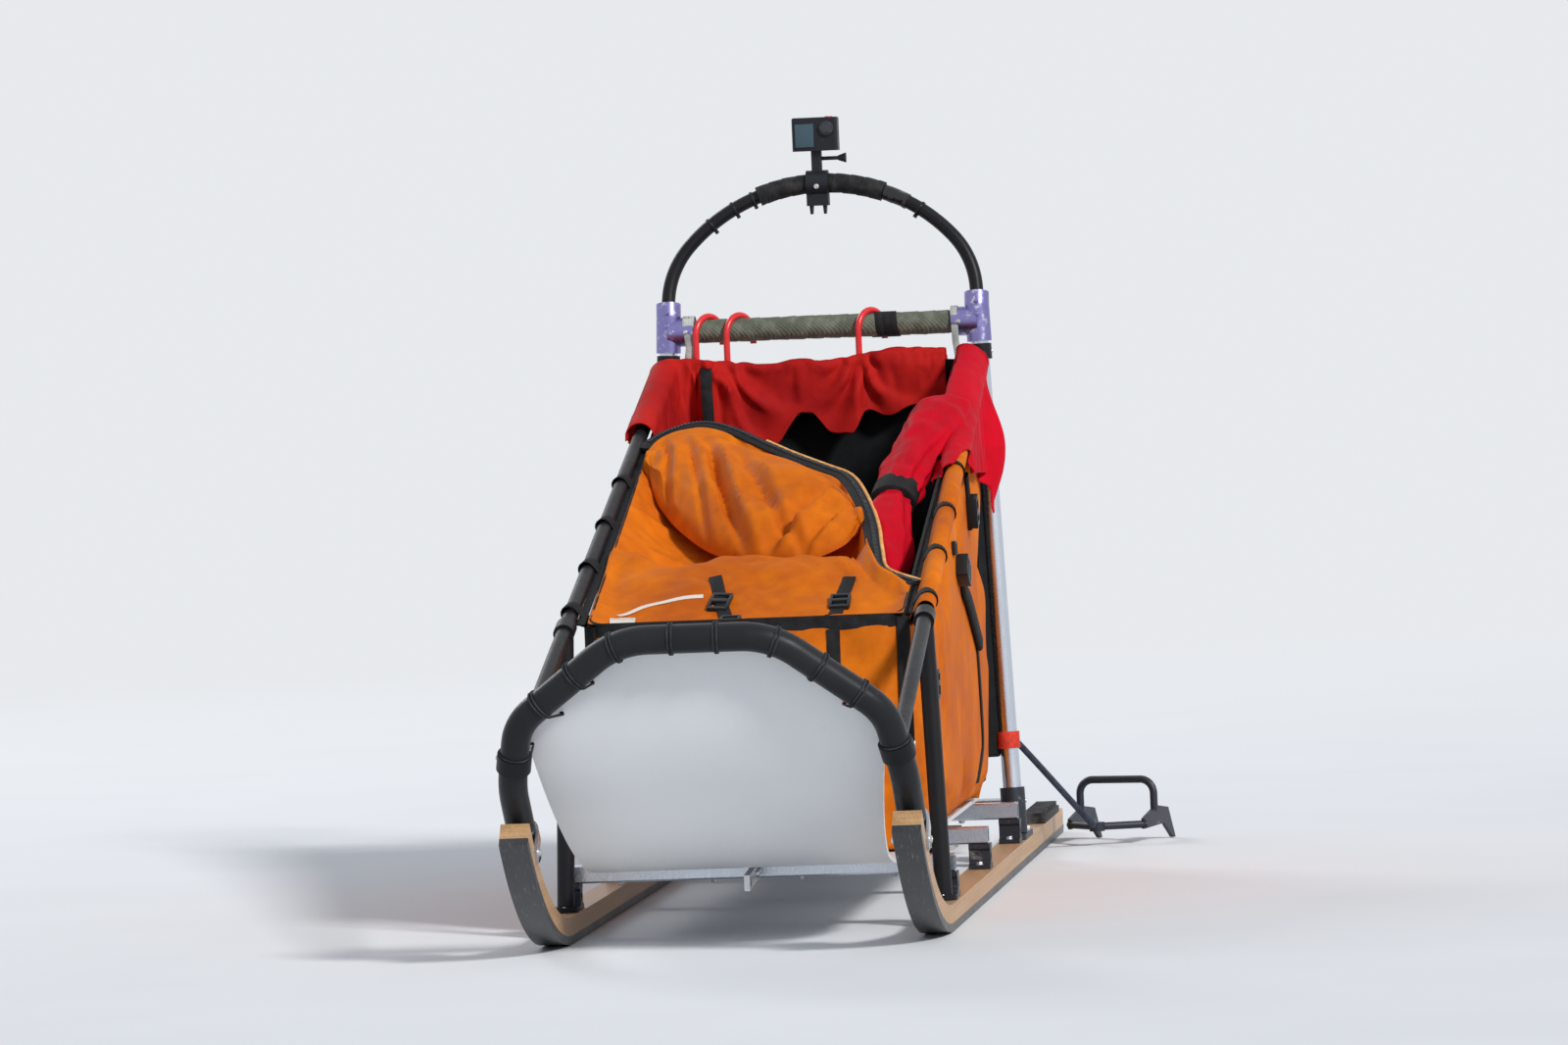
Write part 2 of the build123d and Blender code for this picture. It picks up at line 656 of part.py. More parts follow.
with BuildPart() as drag_mat:
    with BuildSketch(Plane.XY.offset(mat_ground_gap + mat_lug_height)):
        with Locations((0, mat_hinge_y + mat_length / 2)):
            Rectangle(mat_width, mat_length)
    extrude(amount=mat_plate)
    with Locations(Plane(origin=(0, mat_hinge_y, mat_rod_z), z_dir=(1, 0, 0))):
        Cylinder(mat_rod_radius + mat_knuckle_wall, mat_width)
    lug_pitch = (mat_length - mat_lug_thickness) / mat_lug_rows
    lug_step = (mat_width - mat_lug_width) / 2
    for row in range(mat_lug_rows):
        lug_y = mat_hinge_y + (row + 1) * lug_pitch + mat_lug_thickness / 2
        with BuildSketch(Plane.XY.offset(mat_ground_gap + mat_lug_height)):
            with Locations(*[(column * lug_step, lug_y) for column in (-1, 0, 1)]):
                Rectangle(mat_lug_width, mat_lug_thickness)
        extrude(amount=-mat_lug_height, taper=mat_lug_taper)
    with Locations(Plane(origin=(0, mat_hinge_y, mat_rod_z), z_dir=(1, 0, 0))):
        Cylinder(mat_rod_radius + running_gap, 2 * mat_width, mode=Mode.SUBTRACT)

# Mat links: fixed bars from the rear beam to the mat's rod
link_top = sheet_z - beam_size
link_front_y = beam_places["rear"] - mat_link_front
link_shoulder_y = beam_places["rear"] + mat_link_shoulder
link_neck_y = mat_hinge_y - mat_link_neck
link_end_y = mat_hinge_y + mat_link_end
with BuildPart() as mat_links:
    for side in (-1, 1):
        with BuildSketch(Plane.YZ.offset(side * mat_link_x)):
            with BuildLine():
                Polyline(
                    (link_front_y, link_top),
                    (link_front_y, link_top - mat_link_height),
                    (link_shoulder_y, link_top - mat_link_height),
                    (link_neck_y, mat_rod_z - mat_link_height / 2),
                    (link_end_y, mat_rod_z - mat_link_height / 2),
                    (link_end_y, mat_rod_z + mat_link_height / 2),
                    (link_neck_y, mat_rod_z + mat_link_height / 2),
                    (link_shoulder_y, link_top),
                    close=True,
                )
            make_face()
            with Locations((mat_hinge_y, mat_rod_z)):
                Circle(mat_rod_radius + fit_gap, mode=Mode.SUBTRACT)
        extrude(amount=mat_link_thickness / 2, both=True)

# Footpads: rubber base with cross ribs
footpad_front_y = tail_y - footpad_tail_gap - footpad_length
with BuildPart() as footpad_left:
    with BuildSketch(Plane.XY.offset(runner_top)):
        with Locations((gauge_half, footpad_front_y + footpad_length / 2)):
            RectangleRounded(runner_width, footpad_length, footpad_corner)
    extrude(amount=footpad_base)
    rib_pitch = footpad_length / footpad_ribs
    with BuildSketch(Plane.XY.offset(runner_top + footpad_base)):
        for rib in range(footpad_ribs):
            with Locations((gauge_half, footpad_front_y + (rib + 0.5) * rib_pitch)):
                Rectangle(runner_width - 2 * footpad_margin, rib_pitch / 2)
    extrude(amount=footpad_rib)

# Bag: an open tray with a sloping rim, a rounded rear corner and upright corner bends
bag_top_plane = Plane(
    origin=(0, 0, rail_height(0) - bag_rail_drop),
    x_dir=(1, 0, 0),
    z_dir=Vector(0, -(rail_rear.Z - rail_front.Z), rail_rear.Y - rail_front.Y).normalized(),
)
rail_slope = atan2(rail_rear.Z - rail_front.Z, rail_rear.Y - rail_front.Y)


def bag_form(inset, top_extra):
    """Returns the bag's outer form, or with an inset the space inside it."""
    front, rear = bag_front_y + inset, bag_rear_y - inset
    low = sheet_top + inset
    with BuildPart() as form:
        with BuildSketch(Plane.YZ) as side:
            with BuildLine():
                Polyline(
                    (front, low),
                    (rear, low),
                    (rear, rail_height(rear) - bag_rail_drop + top_extra),
                    (front, rail_height(front) - bag_rail_drop + top_extra),
                    close=True,
                )
            make_face()
            fillet(side.vertices().group_by(Axis.Y)[0].sort_by(Axis.X)[-1], radius=bag_rear_bend - inset)
        extrude(amount=bag_width / 2 - inset, both=True)
        fillet(form.edges().filter_by(Axis.Z), radius=bag_corner_bend - inset)
    return form.part


with BuildPart() as bag_shell:
    add(bag_form(0, 0))
    add(bag_form(bag_wall, bag_mouth_rise), mode=Mode.SUBTRACT)

# Bag cover: the cloth over the front of the bag, with its rear edge rolled up
cover_half = bag_width / 2 - cover_seam
cover_front = (bag_front_y + cover_seam) / cos(rail_slope)
cover_outline = (
    (-cover_half, cover_front),
    (-cover_half, cover_edge_left),
    *cover_edge,
    (cover_half, cover_edge_right),
    (cover_half, cover_front),
)
roll_start, roll_end = [bag_top_plane.from_local_coords(Vector(*place)) for place in cover_roll_ends]
roll_run = roll_end - roll_start
roll_plane = Plane(origin=roll_start, x_dir=roll_run, z_dir=bag_top_plane.z_dir)
with BuildPart() as bag_cover:
    with BuildSketch(bag_top_plane):
        with BuildLine():
            Polyline(*cover_outline, close=True)
        make_face()
    extrude(amount=cover_thickness)
    with BuildSketch(roll_plane):
        with BuildLine():
            length = roll_run.length
            belly = [(length * share, cover_roll_radius * height) for share, height in cover_roll_profile]
            Polyline((0, 0), *belly, (length, 0), close=True)
        make_face()
    revolve(axis=Axis(roll_plane.origin, roll_plane.x_dir))

# Bag collar: the lining of the rear wall, with a short return along each side
collar_top = rail_height(bag_rear_y) - bag_rail_drop
collar_half = bag_width / 2 - bag_wall - soft_gap
collar_rear = bag_rear_y - bag_wall - soft_gap
with BuildPart() as bag_collar:
    with BuildSketch(Plane.XY.offset(collar_top - collar_depth)):
        corner = bag_corner_bend - bag_wall - soft_gap
        with Locations((0, collar_rear)):
            RectangleRounded(2 * collar_half, 4 * collar_return, corner, align=(Align.CENTER, Align.MAX))
        with Locations((0, collar_rear - collar_thickness)):
            inner = (2 * (collar_half - collar_thickness), 3 * collar_return)
            inner_corner = corner - collar_thickness
            RectangleRounded(*inner, inner_corner, align=(Align.CENTER, Align.MAX), mode=Mode.SUBTRACT)
        with Locations((0, collar_rear - collar_return)):
            Rectangle(2 * bag_width, 4 * collar_return, align=(Align.CENTER, Align.MAX), mode=Mode.SUBTRACT)
    extrude(amount=collar_depth)
    split(bisect_by=bag_top_plane, keep=Keep.BOTTOM)

# Storm flap: thrown over the left rail, with a tail inside the bag
flap_plane = Plane(
    origin=(0, flap_rear_y, rail_height(flap_rear_y)),
    x_dir=(1, 0, 0),
    z_dir=(0, -cos(rail_slope), -sin(rail_slope)),
)
flap_over = rail_radius + soft_gap
outer_low, outer_high = flap_outer_x
inner_low, inner_high = flap_inner_x
with BuildPart() as storm_flap:
    with BuildSketch(flap_plane):
        with BuildLine():
            Polyline(
                (inner_low, -flap_inner_drop),
                (inner_low, flap_over + flap_leaf),
                (outer_high, flap_over + flap_leaf),
                (outer_high, -flap_hem),
                (outer_low, -flap_hem),
                (outer_low, flap_over),
                (inner_high, flap_over),
                (inner_high, -flap_inner_drop),
                close=True,
            )
        make_face()
    extrude(amount=flap_run)
    skirt = [(y, rail_height(y) - drop) for y, drop in flap_skirt]
    with BuildSketch(Plane.YZ.offset(outer_low)):
        with BuildLine():
            skirt_ends = [flap_skirt[-1][0], flap_skirt[0][0]]
            Polyline(*skirt, *[(y, rail_height(y)) for y in skirt_ends], close=True)
        make_face()
    extrude(amount=outer_high - outer_low)
    with BuildSketch(Plane.YZ.offset(inner_low)):
        with BuildLine():
            Polyline(
                (flap_rear_y, rail_height(flap_rear_y)),
                (flap_rear_y, rail_height(flap_rear_y) - flap_inner_drop),
                *flap_tail,
                (flap_tail[-1][0], flap_tail[-1][1] + flap_tail_end),
                (flap_rear_y - flap_run, rail_height(flap_rear_y - flap_run)),
                close=True,
            )
        make_face()
    extrude(amount=inner_high - inner_low)

# Camera clamp: a ring round the grip, a stem and a thumbscrew
bow_top = bow_plane.from_local_coords((0, driving_bow_rise))
clamp_origin = Vector(camera_x, bow_top.Y, bow_top.Z)
with BuildPart() as camera_clamp:
    with BuildSketch(Plane(origin=clamp_origin, x_dir=(0, 1, 0), z_dir=(1, 0, 0))):
        Circle(grip_radius + camera_clamp_wall)
        with Locations((0, -grip_radius - camera_clamp_wall)):
            Rectangle(*camera_jaw)
        Circle(grip_radius + camera_clamp_gap, mode=Mode.SUBTRACT)
        with Locations((0, -grip_radius)):
            slit_size = (camera_jaw_slit, 2 * camera_jaw[1])
            Rectangle(*slit_size, align=(Align.CENTER, Align.MAX), mode=Mode.SUBTRACT)
    extrude(amount=camera_clamp_width / 2, both=True)
    neck_low = grip_radius + camera_neck_sunk
    with BuildSketch(Plane.XY.offset(clamp_origin.Z + neck_low)):
        with Locations((camera_x, clamp_origin.Y)):
            RectangleRounded(*camera_neck, camera_neck_sunk)
    extrude(amount=camera_stem - neck_low)
    screw_plane = Plane(origin=clamp_origin + Vector(0, 0, camera_screw_height), z_dir=(1, 0, 0))
    with BuildSketch(screw_plane):
        Circle(camera_screw_radius)
    extrude(amount=camera_screw_length)
    with BuildSketch(screw_plane.offset(camera_screw_length)):
        Circle(camera_knob_radius / 2)
    with BuildSketch(screw_plane.offset(camera_screw_length + camera_knob_length)):
        Circle(camera_knob_radius)
    loft()

with BuildPart() as camera:
    with BuildSketch(Plane.XY.offset(clamp_origin.Z + camera_stem)):
        with Locations((camera_x, clamp_origin.Y)):
            RectangleRounded(camera_size[0], camera_size[1], camera_corner)
    extrude(amount=camera_size[2])
    fillet(camera.edges().group_by(Axis.Z)[-1], radius=camera_corner / 2)
    lens_centre = clamp_origin + Vector(camera_lens[0], -camera_size[1] / 2, camera_stem + camera_lens[1])
    with BuildSketch(Plane(origin=lens_centre, z_dir=(0, -1, 0))):
        Circle(camera_lens_radius)
    extrude(amount=camera_lens_depth / 2, both=True)

# Tow tab on the front beam, with the cross hole for a shackle pin
tab_rear_y = beam_places["front"] - beam_size / 2
with BuildPart() as tow_tab:
    with BuildSketch(Plane.YZ):
        with BuildLine():
            Polyline(
                (tab_rear_y, sheet_z - tow_tab_top[0]),
                (tab_rear_y - tow_tab_root, sheet_z - tow_tab_top[0]),
                (tab_rear_y - tow_tab_length, sheet_z - tow_tab_top[1]),
                (tab_rear_y - tow_tab_length, sheet_z - tow_tab_height),
                (tab_rear_y, sheet_z - beam_size),
                close=True,
            )
        make_face()
        hole_y = tab_rear_y - tow_tab_length + tow_hole_inset[0]
        with Locations((hole_y, sheet_z - tow_tab_height + tow_hole_inset[1])):
            Circle(tow_hole_radius, mode=Mode.SUBTRACT)
    extrude(amount=tow_tab_thickness / 2, both=True)

# Snow hook: two tines joined at the eye, and an arched handle
eye = Vector(*hook_eye)
pull = (Vector(gauge_half, stanchion_foot_y, 0) - Vector(eye.X, eye.Y, 0)).normalized()
across = Vector(-pull.Y, pull.X, 0)
with BuildPart() as snow_hook:
    for side in (-1, 1):
        root = eye - pull * hook_tine_back + across * (side * hook_width / 2)
        past_root = root + across * (side * hook_tine_thickness / 2)
        add(round_bar(eye, past_root, hook_bar_radius))
        with BuildSketch(Plane(origin=root, x_dir=-pull, z_dir=across)):
            with BuildLine():
                Polyline(*hook_tine_top, *hook_tine_under, close=True)
            make_face()
        extrude(amount=hook_tine_thickness / 2, both=True)
    with BuildSketch(Plane(origin=eye + pull * hook_eye_ahead, z_dir=(0, 0, 1))):
        Circle(2 * hook_bar_radius)
    extrude(amount=hook_eye_length / 2, both=True)
    arch_foot = eye - pull * hook_arch_back + Vector(0, 0, hook_arch_lift)
    with BuildLine(Plane(origin=arch_foot, x_dir=across, z_dir=pull)) as arch_line:
        half = hook_width / 2
        rise = hook_arch_height - arch_foot.Z
        FilletPolyline((half, 0), (half, rise), (-half, rise), (-half, 0), radius=hook_arch_bend)
    add(bent_bar(arch_line.wire(), hook_bar_radius))

# Line loop round the left stanchion, and the line to the hook
with BuildPart() as line_loop:
    with BuildSketch(Plane(origin=on_stanchion(line_loop_z), z_dir=stanchion_run)):
        Circle(stanchion_radius + soft_gap + line_loop_wall)
        Circle(stanchion_radius + soft_gap, mode=Mode.SUBTRACT)
    extrude(amount=line_loop_width / 2, both=True)

# Each bend of the line is as large as its two runs allow
route = [Vector(*point) for point in line_route]
line_bends = []
for before, corner, after in zip(route, route[1:], route[2:]):
    half_turn = radians((corner - before).get_angle(after - corner) / 2)
    shorter_run = min((corner - before).length, (after - corner).length)
    line_bends.append(0.45 * shorter_run / tan(half_turn))
with BuildLine() as line_path:
    FilletPolyline(*route, radius=line_bends)
with BuildPart() as hook_line:
    add(bent_bar(line_path.wire(), line_radius))

pieces = {
    "sole_left": sole_left,
    "sole_right": other_side(sole_left),
    "runner_left": runner_left,
    "runner_right": other_side(runner_left),
    "cross_beam_front": beams["front"],
    "cross_beam_middle": beams["middle"],
    "cross_beam_rear": beams["rear"],
    "risers_left": risers_left,
    "risers_right": other_side(risers_left),
    "bed_sheet": bed_sheet,
    "brush_bow": brush_bow,
    "brush_bow_clamp_left": brush_bow_clamp_left,
    "brush_bow_clamp_right": other_side(brush_bow_clamp_left),
    "stanchion_left": stanchion_left,
    "stanchion_right": other_side(stanchion_left),
    "stanchion_foot_left": stanchion_foot_left,
    "stanchion_foot_right": other_side(stanchion_foot_left),
    "joint_clamp_left": joint_clamp_left,
    "joint_clamp_right": other_side(joint_clamp_left),
    "driving_bow": driving_bow,
    "grip_sleeve": grip_sleeve,
    "crossbar": crossbar,
    "bag_hook_1": cane_hooks[0],
    "bag_hook_2": cane_hooks[1],
    "bag_hook_3": cane_hooks[2],
    "side_rail_left": side_rail_left,
    "side_rail_right": other_side(side_rail_left),
    "front_upright_left": front_upright_left,
    "front_upright_right": other_side(front_upright_left),
    "brake_shaft": brake_shaft,
    "brake_frame": brake_frame,
    "mat_links": mat_links,
    "mat_rod": mat_rod,
    "drag_mat": drag_mat,
    "footpad_left": footpad_left,
    "footpad_right": other_side(footpad_left),
    "bag_shell": bag_shell,
    "bag_cover": bag_cover,
    "bag_collar": bag_collar,
    "storm_flap": storm_flap,
    "camera_clamp": camera_clamp,
    "camera": camera,
    "tow_tab": tow_tab,
    "snow_hook": snow_hook,
    "line_loop": line_loop,
    "hook_line": hook_line,
}

os.makedirs("parts", exist_ok=True)
for label, piece in pieces.items():
    piece.part.label = label
    export_step(piece.part, f"parts/{label}.step")
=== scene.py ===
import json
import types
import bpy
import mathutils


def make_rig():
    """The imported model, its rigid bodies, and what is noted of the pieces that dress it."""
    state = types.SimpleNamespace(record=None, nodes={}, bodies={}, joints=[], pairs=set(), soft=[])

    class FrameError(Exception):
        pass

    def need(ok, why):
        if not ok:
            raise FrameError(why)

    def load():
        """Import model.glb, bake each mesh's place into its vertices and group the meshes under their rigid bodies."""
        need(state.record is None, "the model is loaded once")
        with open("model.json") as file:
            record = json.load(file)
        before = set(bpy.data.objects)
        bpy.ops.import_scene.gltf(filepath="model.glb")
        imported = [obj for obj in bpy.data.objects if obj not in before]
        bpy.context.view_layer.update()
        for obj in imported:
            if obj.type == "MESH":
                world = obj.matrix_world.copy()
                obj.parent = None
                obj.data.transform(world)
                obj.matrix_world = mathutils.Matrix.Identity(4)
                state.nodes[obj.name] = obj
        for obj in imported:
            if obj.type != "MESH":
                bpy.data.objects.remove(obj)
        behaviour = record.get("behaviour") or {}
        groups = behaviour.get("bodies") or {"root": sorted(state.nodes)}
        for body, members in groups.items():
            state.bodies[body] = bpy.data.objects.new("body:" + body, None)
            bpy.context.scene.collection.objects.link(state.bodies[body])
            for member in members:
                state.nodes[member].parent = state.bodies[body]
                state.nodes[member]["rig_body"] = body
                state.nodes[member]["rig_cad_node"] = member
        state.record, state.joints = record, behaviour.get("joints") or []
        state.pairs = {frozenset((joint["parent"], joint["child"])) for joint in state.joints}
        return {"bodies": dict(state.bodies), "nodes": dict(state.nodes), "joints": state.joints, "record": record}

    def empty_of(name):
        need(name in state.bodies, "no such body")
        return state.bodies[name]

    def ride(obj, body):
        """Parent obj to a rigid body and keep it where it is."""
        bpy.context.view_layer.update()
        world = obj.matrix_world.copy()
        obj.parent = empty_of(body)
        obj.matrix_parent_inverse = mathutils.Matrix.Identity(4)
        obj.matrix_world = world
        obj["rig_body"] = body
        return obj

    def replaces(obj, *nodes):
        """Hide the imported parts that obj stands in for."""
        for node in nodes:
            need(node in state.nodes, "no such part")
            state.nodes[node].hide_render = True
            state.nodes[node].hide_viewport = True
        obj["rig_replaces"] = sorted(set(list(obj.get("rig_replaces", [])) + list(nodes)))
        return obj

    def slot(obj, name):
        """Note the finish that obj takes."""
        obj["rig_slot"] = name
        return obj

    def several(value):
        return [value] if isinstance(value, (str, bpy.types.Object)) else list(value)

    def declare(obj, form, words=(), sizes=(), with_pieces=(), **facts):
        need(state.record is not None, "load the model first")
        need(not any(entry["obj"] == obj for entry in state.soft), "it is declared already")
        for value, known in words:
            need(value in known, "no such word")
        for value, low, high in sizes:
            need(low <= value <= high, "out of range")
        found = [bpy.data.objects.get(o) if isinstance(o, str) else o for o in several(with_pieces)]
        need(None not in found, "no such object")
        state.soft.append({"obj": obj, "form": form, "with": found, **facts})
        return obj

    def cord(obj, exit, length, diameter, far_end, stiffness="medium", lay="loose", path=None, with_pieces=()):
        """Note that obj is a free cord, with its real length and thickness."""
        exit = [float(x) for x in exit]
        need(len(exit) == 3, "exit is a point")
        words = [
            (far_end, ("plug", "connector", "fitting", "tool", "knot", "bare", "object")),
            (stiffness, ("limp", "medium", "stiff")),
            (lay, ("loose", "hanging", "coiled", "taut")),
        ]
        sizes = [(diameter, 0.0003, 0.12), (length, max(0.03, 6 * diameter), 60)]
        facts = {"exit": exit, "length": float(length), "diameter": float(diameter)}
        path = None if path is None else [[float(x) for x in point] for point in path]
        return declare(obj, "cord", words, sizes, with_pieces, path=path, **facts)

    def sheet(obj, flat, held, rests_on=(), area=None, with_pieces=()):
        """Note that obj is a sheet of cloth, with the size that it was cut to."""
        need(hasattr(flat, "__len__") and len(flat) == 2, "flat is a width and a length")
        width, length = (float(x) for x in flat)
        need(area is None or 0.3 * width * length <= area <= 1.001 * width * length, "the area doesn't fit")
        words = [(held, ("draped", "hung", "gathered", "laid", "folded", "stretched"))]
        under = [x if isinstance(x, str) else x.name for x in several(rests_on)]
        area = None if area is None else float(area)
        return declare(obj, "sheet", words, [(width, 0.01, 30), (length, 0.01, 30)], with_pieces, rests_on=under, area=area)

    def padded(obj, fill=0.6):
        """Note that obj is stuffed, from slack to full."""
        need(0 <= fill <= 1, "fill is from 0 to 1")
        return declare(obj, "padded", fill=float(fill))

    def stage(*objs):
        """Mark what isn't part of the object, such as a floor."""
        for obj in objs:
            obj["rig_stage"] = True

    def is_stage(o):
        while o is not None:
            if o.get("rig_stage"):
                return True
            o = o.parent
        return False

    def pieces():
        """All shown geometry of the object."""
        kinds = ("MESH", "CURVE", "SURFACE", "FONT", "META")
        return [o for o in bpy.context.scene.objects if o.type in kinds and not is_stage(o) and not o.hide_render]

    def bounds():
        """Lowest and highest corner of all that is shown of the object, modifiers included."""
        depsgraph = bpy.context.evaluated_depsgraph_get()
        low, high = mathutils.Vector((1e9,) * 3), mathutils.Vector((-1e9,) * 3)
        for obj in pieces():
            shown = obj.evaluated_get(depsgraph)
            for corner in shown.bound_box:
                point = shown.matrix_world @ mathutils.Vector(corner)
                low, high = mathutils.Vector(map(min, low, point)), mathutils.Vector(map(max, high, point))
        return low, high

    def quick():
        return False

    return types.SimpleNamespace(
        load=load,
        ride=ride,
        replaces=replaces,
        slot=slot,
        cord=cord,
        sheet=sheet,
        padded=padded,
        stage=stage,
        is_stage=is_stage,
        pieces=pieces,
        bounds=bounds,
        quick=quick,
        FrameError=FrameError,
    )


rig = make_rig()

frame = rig.load()
cad_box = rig.bounds()

import json
import logging
import math
from collections.abc import Callable, Iterable, Mapping, Sequence
from dataclasses import dataclass, field
from enum import Enum
from typing import Any

import bmesh
import bpy
from mathutils import Matrix, Vector, noise
from mathutils.bvhtree import BVHTree

log = logging.getLogger("dog_sled")

Colour = tuple[float, float, float]
Point = tuple[float, float, float]
Pair = tuple[float, float]
Table = tuple[Pair, ...]
Mesh = bmesh.types.BMesh
Thing = bpy.types.Object
Swell = Callable[[float, float], float]

# The sled's main places, in metres, as in the construction
ELBOW = Vector((0.240, 0.590, 0.862))
STANCHION_FOOT = Vector((0.270, 0.550, 0.047))
BOW_LEAN = math.radians(15)
RAIL_REAR = Vector((0.2426, 0.5865, 0.790))
RAIL_FRONT = Vector((0.2628, -1.1045, 0.2916))
ALONG_RAIL = (RAIL_REAR - RAIL_FRONT).normalized()
CROSSBAR = Vector((0, 0.5888, 0.838))
BAG_FRONT, BAG_REAR, BAG_HALF = -0.586, 0.556, 0.228
BED_TOP = 0.106
RIM_DROP = 0.003
RAIL_RADIUS = 0.011
STANCHION_RADIUS = 0.014
CORNER_STEPS = 5
# How far a strap or head stands off its surface or sinks into it, and how far a seam stands out
SEAT = 0.0004
SEAM = 0.0005
UP, DOWN = Vector((0, 0, 1)), Vector((0, 0, -1))


class Body(str, Enum):
    """The rigid bodies that pieces ride on."""

    SLED = "sled"
    BRAKE = "brake"
    MAT = "mat"


class Slot(str, Enum):
    """Material slots of the record that the added pieces belong to."""

    BOW = "bow_plastic"
    RAIL = "rail_black"
    GRIP = "grip_tape"
    WRAP = "bar_wrap"
    ORANGE = "bag_orange"
    RED = "bag_red"
    BRIGHT_STEEL = "steel_bright"
    RUBBER = "mat_rubber"
    LINE = "line_rope"
    CAMERA = "camera_body"


class Signal:
    """A shader socket that takes part in Python arithmetic: each operator adds one Math node."""

    def __init__(self, shader: "Shader", socket: bpy.types.NodeSocket) -> None:
        """Wraps an output socket of a material's node tree."""
        self.shader = shader
        self.socket = socket

    def maths(self, operation: str, *values: "float | Signal") -> "Signal":
        """Adds a Math node with its inputs in order and returns its result."""
        return self.shader.add("Math", {"operation": operation}, dict(enumerate(values)))

    def __add__(self, other: "float | Signal") -> "Signal":
        """Returns the sum."""
        return self.maths("ADD", self, other)

    __radd__ = __add__

    def __sub__(self, other: "float | Signal") -> "Signal":
        """Returns the difference."""
        return self.maths("SUBTRACT", self, other)

    def __rsub__(self, other: float) -> "Signal":
        """Returns the difference from a number."""
        return self.maths("SUBTRACT", other, self)

    def __mul__(self, other: "float | Signal") -> "Signal":
        """Returns the product."""
        return self.maths("MULTIPLY", self, other)

    __rmul__ = __mul__

    def __truediv__(self, other: "float | Signal") -> "Signal":
        """Returns the quotient."""
        return self.maths("DIVIDE", self, other)

    def __pow__(self, other: float) -> "Signal":
        """Returns the power."""
        return self.maths("POWER", self, other)

    def sine(self) -> "Signal":
        """Returns the sine."""
        return self.maths("SINE", self)

    def size(self) -> "Signal":
        """Returns the absolute value."""
        return self.maths("ABSOLUTE", self)


class Shader:
    """A material and its node tree."""

    def __init__(self, name: str, **constants: Any) -> None:
        """Makes a material with a Principled shader.

        Args:
            name: The material's name.
            **constants: Values of the shader's own sockets, underscores for spaces.
        """
        self.material = bpy.data.materials.new(name)
        self.material.use_nodes = True
        self.tree = self.material.node_tree
        self.surface = self.tree.nodes["Principled BSDF"]
        for key, value in constants.items():
            self.surface.inputs[key.replace("_", " ")].default_value = value

    def add(
        self,
        kind: str,
        settings: Mapping[str, Any] | None = None,
        inputs: Mapping[int | str, Any] | None = None,
        output: int | str = 0,
    ) -> Signal:
        """Adds a node.

        Args:
            kind: The node's type without its ShaderNode prefix.
            settings: Its properties, which are set first.
            inputs: Values or signals of its sockets, by name or number.
            output: The socket that is returned.

        Returns:
            The wrapped output socket.
        """
        node = self.tree.nodes.new("ShaderNode" + kind)
        for key, value in (settings or {}).items():
            setattr(node, key, value)
        for key, value in (inputs or {}).items():
            if isinstance(value, Signal):
                self.tree.links.new(value.socket, node.inputs[key])
            else:
                node.inputs[key].default_value = value
        return Signal(self, node.outputs[output])

    def place(self) -> Signal:
        """Returns the Object coordinates."""
        return self.add("TexCoord", output="Object")

    def axis(self, name: str) -> Signal:
        """Returns one of the Object coordinates, X, Y or Z."""
        return self.add("SeparateXYZ", inputs={"Vector": self.place()}, output=name)

    def cloud(
        self, scale: float, detail: float = 3, stretch: Point = (1, 1, 1), rough: float = 0.5
    ) -> Signal:
        """Returns a noise from 0 to 1.

        Args:
            scale: Cells per metre.
            detail: Octaves.
            stretch: Scale along each axis.
            rough: The octaves' weight.
        """
        place = self.add("Mapping", inputs={"Vector": self.place(), "Scale": stretch})
        inputs = {"Vector": place, "Scale": scale, "Detail": detail, "Roughness": rough}
        return self.add("TexNoise", inputs=inputs)

    def step(self, value: Signal, low: float, high: float, start: float = 0, end: float = 1) -> Signal:
        """Maps a value from low to high on to a range from start to end, held at its ends."""
        inputs = {"Value": value, "From Min": low, "From Max": high, "To Min": start, "To Max": end}
        return self.add("MapRange", {"clamp": True}, inputs)

    def blend(self, share: "Signal | float", first: "Signal | Colour", second: "Signal | Colour") -> Signal:
        """Mixes two colours by the second one's share."""
        colours = [c if isinstance(c, Signal) else (*c, 1.0) for c in (first, second)]
        return self.add("Mix", {"data_type": "RGBA"}, {0: share, 6: colours[0], 7: colours[1]}, output=2)

    def feed(self, socket: str, value: Signal) -> None:
        """Links a signal to one of the shader's sockets."""
        self.tree.links.new(value.socket, self.surface.inputs[socket])

    def relief(self, height: Signal, depth: float, strength: float = 1.0) -> None:
        """Feeds a height to the shader's normal, where 1 stands for a depth in metres."""
        inputs = {"Strength": strength, "Distance": depth, "Height": height}
        self.feed("Normal", self.add("Bump", inputs=inputs, output="Normal"))


